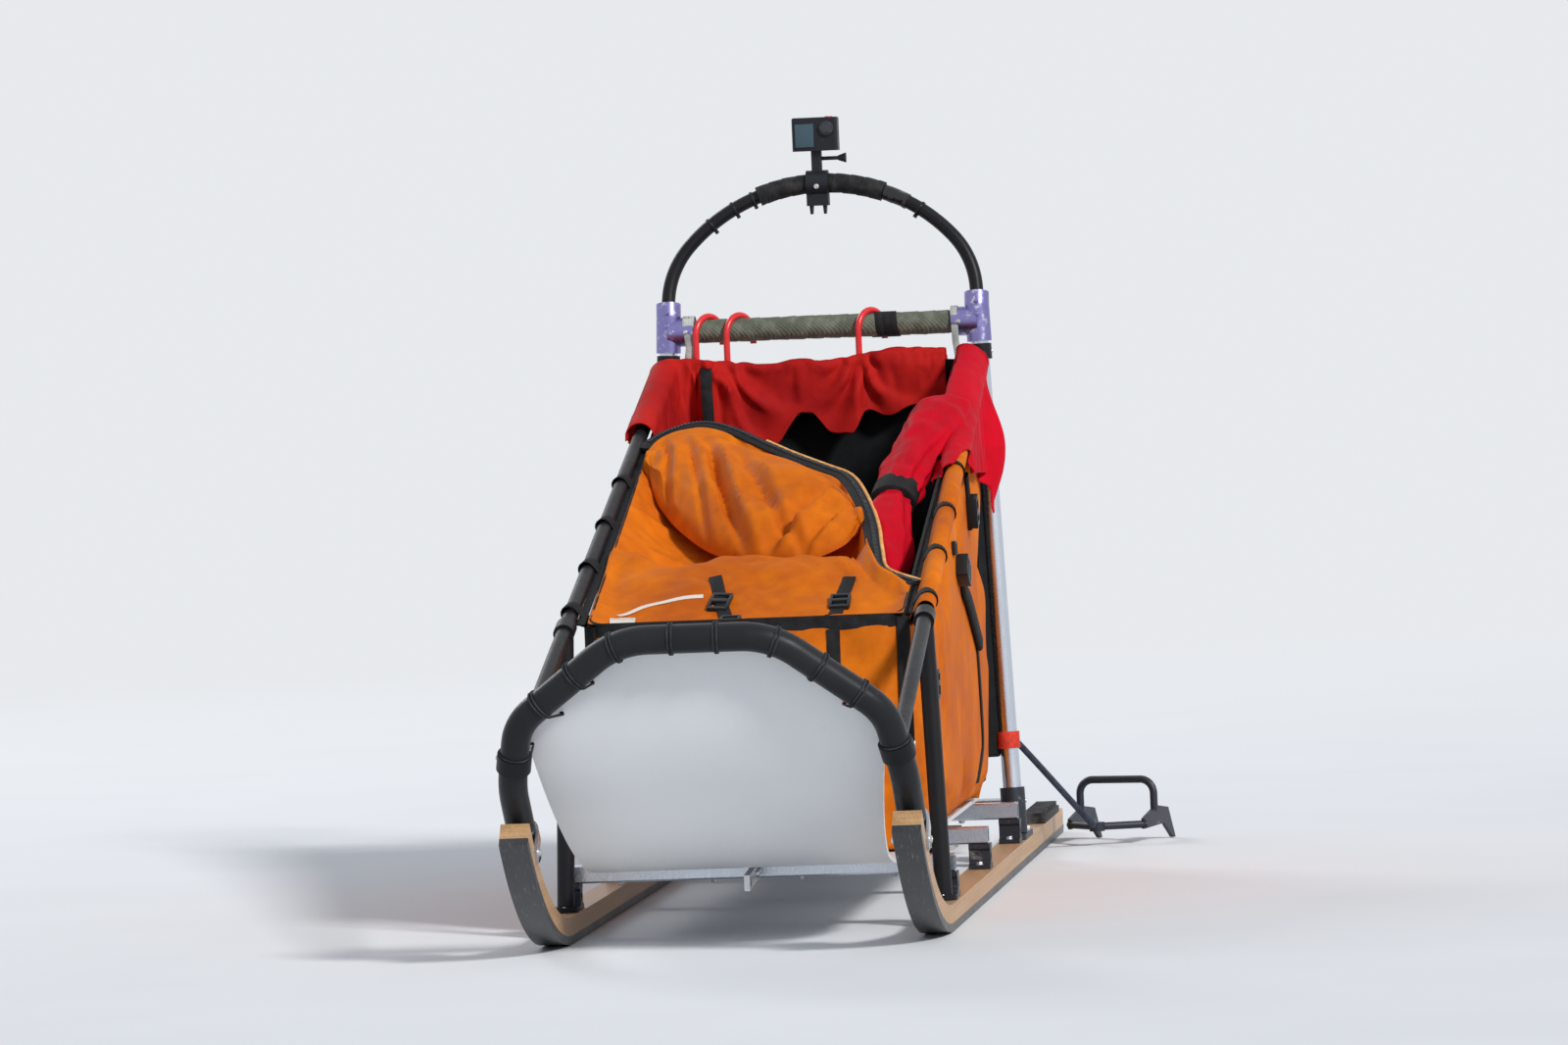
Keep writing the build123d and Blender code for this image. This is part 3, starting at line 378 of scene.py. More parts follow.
@dataclass(frozen=True)
class Cloth:
    """Woven or coated cloth: weave, soft creases and faded patches."""

    name: str
    colour: Colour
    shade: Colour
    threads: float = 900.0
    roughness: float = 0.62
    crease: float = 0.0026

    def make(self) -> bpy.types.Material:
        """Returns the material."""
        shader = Shader(self.name, Specular_IOR_Level=0.05)
        fade = shader.cloud(5.0, 5)
        grime = shader.cloud(38.0, 6)
        share = shader.step(fade * 0.65 + grime * 0.35, 0.36, 0.64)
        weave_x = (shader.axis("X") * self.threads).sine() * (shader.axis("Z") * self.threads).sine()
        weave_y = (shader.axis("Y") * self.threads).sine()
        weave = weave_x * 0.5 + weave_y * 0.5
        thread = shader.step(weave, -1, 1, 0.92, 1.0)
        base = shader.blend(share, self.shade, self.colour)
        dark_thread = tuple(c * 0.55 for c in self.colour)
        shader.feed("Base Color", shader.blend(thread, dark_thread, base))
        rough = shader.step(grime, 0.3, 0.7, self.roughness - 0.1, self.roughness + 0.12)
        shader.feed("Roughness", rough)
        folds = shader.cloud(26.0, 4, (1.0, 1.0, 0.6))
        shader.relief(folds + weave * 0.03, self.crease, 0.6)
        return shader.material


@dataclass(frozen=True)
class Webbing:
    """Ribbed strap or binding tape."""

    name: str
    colour: Colour
    ribs: float = 1500.0

    def make(self) -> bpy.types.Material:
        """Returns the material."""
        shader = Shader(self.name, Specular_IOR_Level=0.10)
        worn = shader.step(shader.cloud(60.0, 5), 0.4, 0.72)
        light = tuple(min(1.0, c * 1.7 + 0.008) for c in self.colour)
        shader.feed("Base Color", shader.blend(worn, self.colour, light))
        shader.feed("Roughness", shader.step(worn, 0, 1, 0.6, 0.85))
        sum_axis = shader.axis("X") + shader.axis("Y") + shader.axis("Z")
        shader.relief((sum_axis * self.ribs).sine(), 0.0003, 0.7)
        return shader.material


@dataclass(frozen=True)
class Metal:
    """Drawn, cast or coated metal with scuffs."""

    name: str
    colour: Colour
    worn: Colour
    roughness: float = 0.3
    metallic: float = 1.0
    grain: Point = (1.0, 1.0, 1.0)
    wear: float = 0.6
    scuffs: float = 45.0

    def make(self) -> bpy.types.Material:
        """Returns the material."""
        shader = Shader(self.name)
        marks = shader.cloud(self.scuffs, 8, self.grain, 0.65)
        scuff = shader.step(marks, self.wear, self.wear + 0.1)
        film = shader.cloud(9.0, 4)
        line = shader.cloud(420.0, 2, self.grain)
        shader.feed("Base Color", shader.blend(scuff, self.colour, self.worn))
        shader.feed("Metallic", shader.step(scuff, 0, 1, self.metallic, max(self.metallic, 0.7)))
        uneven = film * 0.6 + line * 0.4
        rough = shader.step(uneven, 0.35, 0.65, self.roughness * 0.75, self.roughness * 1.3)
        shader.feed("Roughness", rough)
        shader.relief(line + scuff * 0.4, 0.0002, 0.35)
        return shader.material


@dataclass(frozen=True)
class Plastic:
    """Moulded or extruded plastic with scratches and frost."""

    name: str
    colour: Colour
    scratch: Colour
    roughness: float = 0.42
    scratches: float = 0.62
    grain: Point = (1.0, 1.0, 1.0)
    specular: float = 0.5

    def make(self) -> bpy.types.Material:
        """Returns the material."""
        shader = Shader(self.name, Specular_IOR_Level=self.specular)
        lines = shader.cloud(70.0, 8, self.grain, 0.7)
        mark = shader.step(lines, self.scratches, self.scratches + 0.07)
        haze = shader.step(shader.cloud(6.0, 5), 0.35, 0.7)
        frosted = tuple(c * 0.85 + s * 0.15 for c, s in zip(self.colour, self.scratch))
        tone = shader.blend(haze, self.colour, frosted)
        shader.feed("Base Color", shader.blend(mark, tone, self.scratch))
        dull = lines + haze * 0.4
        rough = shader.step(dull, 0.3, 1.0, self.roughness * 0.8, self.roughness * 1.35)
        shader.feed("Roughness", rough)
        shader.relief(lines + shader.cloud(900.0, 2) * 0.3, 0.0003, 0.4)
        return shader.material


@dataclass(frozen=True)
class Timber:
    """Laminated ash: glue lines across the height and grain along the plank."""

    name: str
    colour: Colour
    dark: Colour
    glue: Colour
    lamination: float = 0.0065

    def make(self) -> bpy.types.Material:
        """Returns the material."""
        shader = Shader(self.name, Coat_Weight=0.25, Coat_Roughness=0.3)
        depth = shader.axis("Z") / self.lamination
        near_glue = shader.step((depth * math.pi).sine().size(), 0.0, 0.14, 1, 0)
        fibre = shader.cloud(90.0, 6, (6.0, 0.22, 6.0), 0.6)
        band = shader.cloud(7.0, 4, (3.0, 0.3, 8.0))
        stained = shader.step(fibre * 0.6 + band * 0.4, 0.38, 0.62)
        weathered = shader.step(shader.cloud(14.0, 6, (1.0, 0.5, 1.0)), 0.55, 0.8)
        grain = shader.blend(stained, self.dark, self.colour)
        grey = shader.blend(weathered * 0.5, grain, (0.36, 0.31, 0.26))
        shader.feed("Base Color", shader.blend(near_glue * 0.7, grey, self.glue))
        shader.feed("Roughness", shader.step(fibre, 0.3, 0.7, 0.42, 0.66))
        shader.relief(fibre - near_glue * 0.4, 0.0005, 0.5)
        return shader.material


@dataclass(frozen=True)
class Rubber:
    """Moulded rubber, dusted grey where it is trodden."""

    name: str
    colour: Colour = (0.018, 0.018, 0.019)
    dust: Colour = (0.11, 0.11, 0.115)

    def make(self) -> bpy.types.Material:
        """Returns the material."""
        shader = Shader(self.name, Specular_IOR_Level=0.2)
        cloud = shader.cloud(55.0, 7)
        share = shader.step(cloud, 0.42, 0.75)
        shader.feed("Base Color", shader.blend(share, self.colour, self.dust))
        shader.feed("Roughness", shader.step(cloud, 0.3, 0.7, 0.6, 0.85))
        shader.relief(cloud + shader.cloud(700.0, 2) * 0.4, 0.0005, 0.5)
        return shader.material


@dataclass(frozen=True)
class Finishes:
    """Every finish on the sled, made once."""

    orange: Cloth = Cloth("bag_orange_cloth", (0.78, 0.200, 0.010), (0.50, 0.100, 0.008))
    red: Cloth = Cloth("bag_red_cloth", (0.60, 0.020, 0.014), (0.36, 0.010, 0.011))
    crimson: Cloth = Cloth("crimson_cloth", (0.66, 0.005, 0.020), (0.46, 0.004, 0.015))
    lining: Cloth = Cloth("bag_black_lining", (0.022, 0.024, 0.026), (0.010, 0.011, 0.012))
    binding: Webbing = Webbing("black_binding", (0.012, 0.012, 0.013))
    piping: Webbing = Webbing("orange_piping", (0.78, 0.36, 0.12))
    pale_strap: Webbing = Webbing("pale_strap", (0.34, 0.36, 0.34))
    red_strap: Webbing = Webbing("red_webbing", (0.55, 0.05, 0.03))
    reflective: Metal = Metal("reflective_tape", (0.80, 0.76, 0.68), (0.5, 0.45, 0.4), 0.35, 0.35)
    wood: Timber = Timber("laminated_ash", (0.56, 0.34, 0.165), (0.36, 0.20, 0.09), (0.17, 0.09, 0.04))
    sole: Plastic = Plastic(
        "sole_plastic", (0.030, 0.031, 0.034), (0.16, 0.16, 0.17), 0.38, 0.58, (8, 0.4, 1)
    )
    bed: Plastic = Plastic(
        "bed_sheet_plastic", (0.80, 0.815, 0.83), (0.52, 0.54, 0.57), 0.34, 0.66, (6, 0.7, 1)
    )
    pipe: Plastic = Plastic(
        "brush_bow_pipe", (0.014, 0.015, 0.018), (0.060, 0.065, 0.07), 0.34, 0.64, specular=0.16
    )
    tube: Metal = Metal(
        "bright_tube", (0.60, 0.64, 0.71), (0.78, 0.81, 0.86), 0.27, 1.0, (5, 5, 0.4)
    )
    rail: Plastic = Plastic(
        "black_coated_tube", (0.008, 0.008, 0.010), (0.05, 0.05, 0.055), 0.38, 0.68, specular=0.18
    )
    joint: Metal = Metal(
        "blue_violet_joint", (0.24, 0.22, 0.47), (0.64, 0.63, 0.72), 0.34, 1.0, wear=0.56, scuffs=95.0
    )
    dark_steel: Metal = Metal(
        "dark_steel", (0.030, 0.034, 0.046), (0.26, 0.25, 0.24), 0.42, 0.5, wear=0.60
    )
    steel: Metal = Metal("plated_steel", (0.60, 0.61, 0.63), (0.42, 0.40, 0.38), 0.30)
    cane: Plastic = Plastic("red_dipped", (0.72, 0.012, 0.018), (0.80, 0.10, 0.09), 0.25, 0.66)
    wrap: Webbing = Webbing("bar_wrap_cloth", (0.120, 0.130, 0.100), 900.0)
    tape: Rubber = Rubber("grip_tape_rubber", (0.012, 0.012, 0.013), (0.05, 0.05, 0.052))
    rubber: Rubber = Rubber("track_rubber")
    glossy_tape: Plastic = Plastic(
        "glossy_tape", (0.010, 0.010, 0.011), (0.05, 0.05, 0.052), 0.16, 0.7
    )
    lash: Webbing = Webbing("lashing_cord", (0.030, 0.032, 0.036), 2200.0)
    line: Webbing = Webbing("dark_line", (0.035, 0.042, 0.065), 2600.0)
    camera: Plastic = Plastic(
        "camera_housing", (0.012, 0.014, 0.019), (0.05, 0.05, 0.055), 0.4, specular=0.22
    )
    screen: Plastic = Plastic(
        "camera_screen_glass", (0.030, 0.075, 0.105), (0.10, 0.14, 0.16), 0.12, 0.8
    )
    glass: Plastic = Plastic(
        "camera_glass", (0.006, 0.008, 0.014), (0.02, 0.03, 0.05), 0.08, 0.8, specular=0.8
    )


class Paint:
    """Makes each finish's material the first time that it is asked for."""

    def __init__(self) -> None:
        """Starts with no materials."""
        self.finishes = Finishes()
        self.made: dict[str, bpy.types.Material] = {}

    def __call__(self, name: str) -> bpy.types.Material:
        """Returns the material of a finish, by its field in Finishes."""
        if name not in self.made:
            self.made[name] = getattr(self.finishes, name).make()
        return self.made[name]


def placed(name: str, data: bpy.types.ID, matrix: Matrix | None = None) -> Thing:
    """Returns a new object that is linked to the scene.

    Args:
        name: Its name.
        data: Its mesh, curve, camera or lamp.
        matrix: Where it stands, or none for the origin.
    """
    thing = bpy.data.objects.new(name, data)
    bpy.context.scene.collection.objects.link(thing)
    if matrix is not None:
        thing.matrix_world = matrix
    return thing


def as_thing(mesh: Mesh, name: str) -> Thing:
    """Returns a new object with the mesh, which is freed."""
    data = bpy.data.meshes.new(name)
    mesh.to_mesh(data)
    mesh.free()
    return placed(name, data)


@dataclass
class Shop:
    """Turns meshes into pieces that ride on the sled."""

    paint: Paint = field(default_factory=Paint)
    quick: bool = field(default_factory=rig.quick)

    def piece(
        self,
        mesh: Mesh,
        name: str,
        finishes: str | Sequence[str],
        slot: Slot,
        body: Body = Body.SLED,
        replaces: Sequence[str] = (),
        smooth: float | None = 40.0,
    ) -> Thing:
        """Makes an object from a mesh and lets it ride on a body.

        Args:
            mesh: The finished mesh, which is freed.
            name: The piece's name.
            finishes: One finish, or one for each material index.
            slot: The record's slot.
            body: What it rides on.
            replaces: The construction's nodes that it stands for.
            smooth: The angle in degrees above which an edge is sharp, or None for a faceted piece.

        Returns:
            The object.
        """
        return self.dress(as_thing(mesh, name), finishes, slot, body, replaces, smooth)

    def dress(
        self,
        thing: Thing,
        finishes: str | Sequence[str],
        slot: Slot,
        body: Body = Body.SLED,
        replaces: Sequence[str] = (),
        smooth: float | None = 40.0,
    ) -> Thing:
        """Gives an object its materials, slot and body, with the arguments of piece.

        Returns:
            The same object.
        """
        names = [finishes] if isinstance(finishes, str) else finishes
        for name in names:
            thing.data.materials.append(self.paint(name))
        if thing.type == "MESH" and smooth is not None:
            thing.data.shade_smooth()
            thing.data.set_sharp_from_angle(angle=math.radians(smooth))
        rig.ride(thing, body.value)
        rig.slot(thing, slot.value)
        if replaces:
            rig.replaces(thing, *replaces)
        log.info("%s rides on %s", thing.name, body.value)
        return thing

    def finish_node(self, node: str, finish: str) -> None:
        """Gives one of the construction's nodes its finish."""
        materials = frame["nodes"][node].data.materials
        materials.clear()
        materials.append(self.paint(finish))
        log.info("%s finished in %s", node, finish)


FINISHED_NODES = {
    "sole": ("sole_left", "sole_right"),
    "wood": ("runner_left", "runner_right"),
    "tube": (
        "cross_beam_front", "cross_beam_middle", "cross_beam_rear", "stanchion_left", "stanchion_right"
    ),
    "bed": ("bed_sheet",),
    "pipe": ("brush_bow",),
    "joint": ("joint_clamp_left", "joint_clamp_right"),
    "rail": (
        "driving_bow", "side_rail_left", "side_rail_right", "front_upright_left", "front_upright_right"
    ),
    "cane": ("bag_hook_1", "bag_hook_2", "bag_hook_3"),
    "steel": (
        "brush_bow_clamp_left", "brush_bow_clamp_right", "brake_shaft", "mat_links", "mat_rod", "tow_tab"
    ),
    "dark_steel": (
        "risers_left", "risers_right", "stanchion_foot_left", "stanchion_foot_right", "brake_frame",
        "snow_hook"
    ),
    "rubber": ("drag_mat", "footpad_left", "footpad_right"),
    "camera": ("camera_clamp", "camera"),
    "red_strap": ("line_loop",),
}


@dataclass
class Studio:
    """Floor, light and the photograph's camera."""

    eye: Point = (1.505, -13.146, 1.025)
    aim: Point = (0.0, -0.05, 0.56)
    roll: float = math.radians(-2.4)
    lens: float = 205.0
    sensor: float = 36.0
    view_reach: float = 200.0
    lamp_aim: Point = (0, 0, 0.4)
    key_place: Point = (5.0, -5.0, 5.2)
    key_colour: Colour = (1.0, 0.985, 0.96)
    key_angle: float = math.radians(9)
    key_strength: float = 2.5
    rim_place: Point = (-7.0, 8.0, 7.0)
    rim_size: float = 4.0
    rim_strength: float = 320.0
    sky: Colour = (0.86, 0.92, 1.0)
    sky_strength: float = 0.42
    backdrop: Colour = (0.80, 0.82, 0.85)
    floor_half: float = 60.0
    floor_z: float = -0.0005
    fade: Pair = (2.6, 7.0)

    @staticmethod
    def aimed(place: Point, goal: Point) -> Matrix:
        """Returns the matrix of a camera or lamp at a place that looks at a goal."""
        look = Vector(goal) - Vector(place)
        return Matrix.Translation(place) @ look.to_track_quat("-Z", "Y").to_matrix().to_4x4()

    def camera(self) -> None:
        """Places the photograph's camera, with a longer lens that is aimed at the sled."""
        data = bpy.data.cameras.new("photo_camera")
        data.lens = self.lens
        data.sensor_width = self.sensor
        data.clip_end = self.view_reach
        stand = self.aimed(self.eye, self.aim) @ Matrix.Rotation(self.roll, 4, "Z")
        bpy.context.scene.camera = placed("photo_camera", data, stand)

    def floor(self) -> None:
        """Makes the pale floor, which fades into the background far from the sled."""
        mesh = bmesh.new()
        bmesh.ops.create_grid(mesh, x_segments=1, y_segments=1, size=self.floor_half)
        bmesh.ops.translate(mesh, verts=mesh.verts, vec=(0, 0, self.floor_z))
        thing = as_thing(mesh, "floor")
        shader = Shader("studio_floor", Roughness=0.9, Specular_IOR_Level=0.0)
        grain = shader.step(shader.cloud(2.0, 4), 0.3, 0.7)
        light = tuple(c * 1.03 for c in self.backdrop)
        shader.feed("Base Color", shader.blend(grain, self.backdrop, light))
        distance = shader.add("VectorMath", {"operation": "LENGTH"}, {0: shader.place()}, "Value")
        share = shader.step(distance, *self.fade) * Signal(shader, self.shown_rays(shader.tree))
        glow = shader.tree.nodes.new("ShaderNodeEmission")
        glow.inputs["Color"].default_value = (*self.backdrop, 1)
        goal = shader.tree.nodes["Material Output"].inputs["Surface"]
        self.mix(shader.tree, share.socket, shader.surface, glow, goal)
        thing.data.materials.append(shader.material)
        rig.stage(thing)

    @staticmethod
    def shown_rays(tree: bpy.types.NodeTree) -> bpy.types.NodeSocket:
        """Returns 1 for the rays that show the background: camera, gloss and glass rays."""
        path = tree.nodes.new("ShaderNodeLightPath")
        socket = path.outputs["Is Camera Ray"]
        for name in ("Is Glossy Ray", "Is Transmission Ray"):
            either = tree.nodes.new("ShaderNodeMath")
            either.operation = "MAXIMUM"
            tree.links.new(socket, either.inputs[0])
            tree.links.new(path.outputs[name], either.inputs[1])
            socket = either.outputs[0]
        return socket

    @staticmethod
    def mix(
        tree: bpy.types.NodeTree,
        share: bpy.types.NodeSocket,
        first: bpy.types.Node,
        second: bpy.types.Node,
        goal: bpy.types.NodeSocket,
    ) -> None:
        """Feeds the mix of two shader nodes to an output.

        Args:
            tree: The node tree.
            share: Gives the second node's share.
            first: The node at 0.
            second: The node at 1.
            goal: The output's socket.
        """
        node = tree.nodes.new("ShaderNodeMixShader")
        for index, socket in enumerate((share, first.outputs[0], second.outputs[0])):
            tree.links.new(socket, node.inputs[index])
        tree.links.new(node.outputs[0], goal)

    def light(self) -> None:
        """Adds a broad key lamp from the left of the sled, a soft rim lamp and the world."""
        key = bpy.data.lights.new("key", "SUN")
        key.energy = self.key_strength
        key.angle = self.key_angle
        key.color = self.key_colour
        placed("key", key, self.aimed(self.key_place, self.lamp_aim))
        rim = bpy.data.lights.new("rim", "AREA")
        rim.size = self.rim_size
        rim.energy = self.rim_strength
        placed("rim", rim, self.aimed(self.rim_place, self.lamp_aim))
        world = bpy.data.worlds.new("studio")
        bpy.context.scene.world = world
        world.use_nodes = True
        tree = world.node_tree
        ground = tree.nodes["Background"]
        ground.inputs["Color"].default_value = (*self.sky, 1)
        ground.inputs["Strength"].default_value = self.sky_strength
        seen = tree.nodes.new("ShaderNodeBackground")
        seen.inputs["Color"].default_value = (*self.backdrop, 1)
        goal = tree.nodes["World Output"].inputs["Surface"]
        self.mix(tree, self.shown_rays(tree), ground, seen, goal)

    def build(self) -> None:
        """Sets the stage."""
        self.camera()
        self.floor()
        self.light()
        bpy.context.scene.view_settings.view_transform = "Standard"


def rounded_plan(half: float, front: float, rear: float, bend: float, pitch: float) -> list[Vector]:
    """Returns points round a rectangle with rounded corners, evenly spaced.

    Args:
        half: Half its width.
        front: Its lowest y.
        rear: Its highest y.
        bend: The corners' radius.
        pitch: The spacing along the straight sides.

    Returns:
        The closed outline's points, counter-clockwise seen from above.
    """
    def corner_point(x: float, y: float, angle: float) -> Vector:
        """Returns the point of a corner's arc at an angle in degrees."""
        centre = Vector((x - math.copysign(bend, x), y + (bend if y == front else -bend), 0))
        turn = math.radians(angle)
        return centre + Vector((math.cos(turn), math.sin(turn), 0)) * bend

    points = []
    corners = ((half, rear, 0), (-half, rear, 90), (-half, front, 180), (half, front, 270))
    for (x, y, angle), following in zip(corners, corners[1:] + corners[:1]):
        turns = [angle + 90 * step / CORNER_STEPS for step in range(CORNER_STEPS + 1)]
        points += [corner_point(x, y, turn) for turn in turns]
        start, goal = points[-1], corner_point(*following)
        count = max(1, round((goal - start).length / pitch))
        points += [start.lerp(goal, i / count) for i in range(1, count)]
    return points


def curve_point(corners: Sequence[Vector], index: int, t: float) -> Vector:
    """Returns a point of the Catmull-Rom line through corners.

    Args:
        corners: The points that it goes through.
        index: The corner before the point.
        t: The share of the way to the next corner.
    """
    last = len(corners) - 1
    a, b, c, d = (corners[min(max(index + k, 0), last)] for k in (-1, 0, 1, 2))
    bent = (2 * a - 5 * b + 4 * c - d) * t * t + (3 * b - a - 3 * c + d) * t**3
    return 0.5 * (2 * b + (c - a) * t + bent)


def smooth_path(points: Sequence[Sequence[float]], steps: int = 6) -> list[Vector]:
    """Returns a Catmull-Rom line through points, with a number of pieces between each two."""
    corners = [Vector(p) for p in points]
    pieces = range(len(corners) - 1)
    line = [curve_point(corners, i, step / steps) for i in pieces for step in range(steps)]
    return [*line, corners[-1]]


def disc(radius: float, sides: int) -> list[Pair]:
    """Returns a round section."""
    turns = [math.tau * i / sides for i in range(sides)]
    return [(radius * math.cos(turn), radius * math.sin(turn)) for turn in turns]


def tape(width: float, thickness: float) -> list[Pair]:
    """Returns the section of a strap with softened edges, its back on the path."""
    half, edge = width / 2, thickness * 0.4
    low, high = thickness * 0.3, thickness * 0.7
    back = [(-half, low), (-half + edge, 0.0), (half - edge, 0.0), (half, low)]
    return [*back, (half, high), (half - edge, thickness), (-half + edge, thickness), (-half, high)]


def path_frames(path: Sequence[Vector], up: Vector | Sequence[Vector], closed: bool) -> list[Matrix]:
    """Returns a frame at each point of a path: its X across, Y up and Z along the path.

    Args:
        path: The points.
        up: The direction of the section's Y, one for all or one for each point.
        closed: Whether the path returns to its start.
    """
    frames = []
    count = len(path)
    for i, point in enumerate(path):
        before = path[(i - 1) % count] if closed else path[max(i - 1, 0)]
        after = path[(i + 1) % count] if closed else path[min(i + 1, count - 1)]
        along = (after - before).normalized()
        hint = up if isinstance(up, Vector) else up[i]
        across = hint.cross(along).normalized()
        rise = along.cross(across)
        turn = Matrix((across, rise, along)).transposed().to_4x4()
        frames.append(Matrix.Translation(point) @ turn)
    return frames


def ring(mesh: Mesh, points: Iterable[Vector]) -> tuple[list, list]:
    """Adds a closed ring through points and returns its verts and edges."""
    verts = [mesh.verts.new(point) for point in points]
    return verts, [mesh.edges.new(pair) for pair in zip(verts, verts[1:] + verts[:1])]


def extruded(mesh: Mesh, edges: Sequence[bmesh.types.BMEdge]) -> tuple[list, list]:
    """Extrudes edges and returns the new verts and edges."""
    made = bmesh.ops.extrude_edge_only(mesh, edges=edges)["geom"]
    verts = [g for g in made if isinstance(g, bmesh.types.BMVert)]
    return verts, [g for g in made if isinstance(g, bmesh.types.BMEdge)]


def soften(mesh: Mesh, edges: Iterable[bmesh.types.BMEdge], width: float, steps: int = 2) -> None:
    """Bevels edges by a width in a number of steps."""
    bmesh.ops.bevel(
        mesh, geom=list(edges), offset=width, segments=steps, profile=0.5, affect="EDGES", material=-1
    )


def block(mesh: Mesh, matrix: Matrix, edge: float, taper: Pair = (1, 1)) -> None:
    """Adds a unit cube, moved by a matrix, with softened edges.

    Args:
        mesh: The mesh that it is added to.
        matrix: Its place and size.
        edge: The width of its softened edges.
        taper: The scale of its lower end across X and Y.
    """
    verts = bmesh.ops.create_cube(mesh, size=1, matrix=matrix)["verts"]
    if taper != (1, 1):
        middle = matrix.translation
        low = [v for v in verts if v.co.z < middle.z]
        bmesh.ops.scale(mesh, verts=low, vec=(*taper, 1), space=Matrix.Translation(-middle))
    soften(mesh, {e for v in verts for e in v.link_edges}, edge)


def cloth_grid(columns: int, rows: int, place: Callable[[float, float], Vector]) -> Mesh:
    """Returns a rectangle of cloth that a function lays out.

    Args:
        columns: Its cells in the first direction.
        rows: Its cells in the second direction.
        place: Gives the point for two shares from 0 to 1.

    Returns:
        The mesh.
    """
    mesh = bmesh.new()
    bmesh.ops.create_grid(mesh, x_segments=columns, y_segments=rows, size=0.5)
    for vert in mesh.verts:
        vert.co = place(vert.co.x + 0.5, vert.co.y + 0.5)
    bmesh.ops.recalc_face_normals(mesh, faces=mesh.faces)
    return mesh


def split_caps(mesh: Mesh) -> None:
    """Splits the faces with more than four corners into triangles."""
    bmesh.ops.triangulate(mesh, faces=[f for f in mesh.faces if len(f.verts) > 4])


def sweep(
    path: Sequence[Vector],
    section: Sequence[Pair],
    up: Vector | Sequence[Vector] = UP,
    closed: bool = False,
    swell: Swell | None = None,
    mesh: Mesh | None = None,
) -> Mesh:
    """Extrudes a closed section along a path.

    Args:
        path: The points that its origin follows.
        section: Its points, X across the path and Y up.
        up: The direction of the section's Y, one for all or one for each point.
        closed: Whether the path returns to its start.
        swell: The section's scale by the distance along the path and the angle round it.
        mesh: A mesh to add to, or none for a new one.

    Returns:
        The mesh.
    """
    mesh = mesh or bmesh.new()
    frames = path_frames(path, up, closed)
    verts, edges = ring(mesh, [frames[0] @ Vector((a, b, 0)) for a, b in section])
    first_edges, distance = edges, 0.0
    rings = [(verts, frames[0], 0.0)]
    for last, this in zip(frames, frames[1:]):
        verts, edges = extruded(mesh, edges)
        bmesh.ops.transform(mesh, matrix=this @ last.inverted(), verts=verts)
        distance += (this.translation - last.translation).length
        rings.append((verts, this, distance))
    if closed:
        bmesh.ops.bridge_loops(mesh, edges=first_edges + edges)
    else:
        bmesh.ops.contextual_create(mesh, geom=first_edges)
        bmesh.ops.contextual_create(mesh, geom=edges)
    if swell:
        for verts, place, run in rings:
            for vert in verts:
                local = place.inverted() @ vert.co
                factor = swell(run, math.atan2(local.y, local.x))
                vert.co = place @ Vector((local.x * factor, local.y * factor, local.z))
    linked = {v for verts, _, _ in rings for v in verts}
    faces = [f for f in mesh.faces if all(v in linked for v in f.verts)]
    bmesh.ops.recalc_face_normals(mesh, faces=faces)
    return mesh


@dataclass(frozen=True)
class Cut:
    """How a cloth is cut and how it settles."""

    spare: float = 0.03
    pressure: float = 0.0
    gravity: float = 0.4
    bending: float = 2.0
    frames: int = 24
    travel: float = 0.02
    stiffness: float = 12.0


def settle(mesh: Mesh, held: Callable[[Vector], float], cut: Cut, seed: int = 1) -> Mesh:
    """Lets a cloth settle between the places where it is held.

    Args:
        mesh: The cloth at its start, which is changed.
        held: How firmly a point is held, from 0 to 1.
        cut: The cloth's cut.
        seed: What sets its first small folds apart from another cloth's.

    Returns:
        The same mesh, settled.
    """
    mesh.verts.ensure_lookup_table()
    mesh.normal_update()
    start = [vert.co.copy() for vert in mesh.verts]
    holds = [held(co) for co in start]
    for vert, hold in zip(mesh.verts, holds):
        crinkle = noise.noise(vert.co * 11 + Vector((seed * 7.3, 0, 0)))
        vert.co += vert.normal * crinkle * cut.travel * 0.35 * (1 - hold)
    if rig.quick():
        return mesh
    data = bpy.data.meshes.new("settling_cloth")
    mesh.to_mesh(data)
    thing = placed("settling_cloth", data)
    group = thing.vertex_groups.new(name="held")
    for index, hold in enumerate(holds):
        if hold > 0:
            group.add([index], hold, "REPLACE")
    modifier = thing.modifiers.new("Cloth", "CLOTH")
    cloth = modifier.settings
    cloth.quality = 6
    cloth.mass = 0.25
    cloth.tension_stiffness = cut.stiffness
    cloth.compression_stiffness = cut.stiffness
    cloth.shear_stiffness = cut.stiffness * 0.4
    cloth.bending_stiffness = cut.bending
    cloth.vertex_group_mass = "held"
    cloth.shrink_min = -cut.spare
    cloth.use_pressure = cut.pressure != 0
    cloth.uniform_pressure_force = cut.pressure
    cloth.effector_weights.gravity = cut.gravity
    modifier.point_cache.frame_start = 1
    modifier.point_cache.frame_end = cut.frames
    for moment in range(1, cut.frames + 1):
        bpy.context.scene.frame_set(moment)
    settled = thing.evaluated_get(bpy.context.evaluated_depsgraph_get()).to_mesh()
    for vert, was, now in zip(mesh.verts, start, settled.vertices):
        move = now.co - was
        if move.length > cut.travel:
            move *= cut.travel / move.length
        vert.co = was + move
    bpy.data.objects.remove(thing)
    bpy.context.scene.frame_set(1)
    return mesh


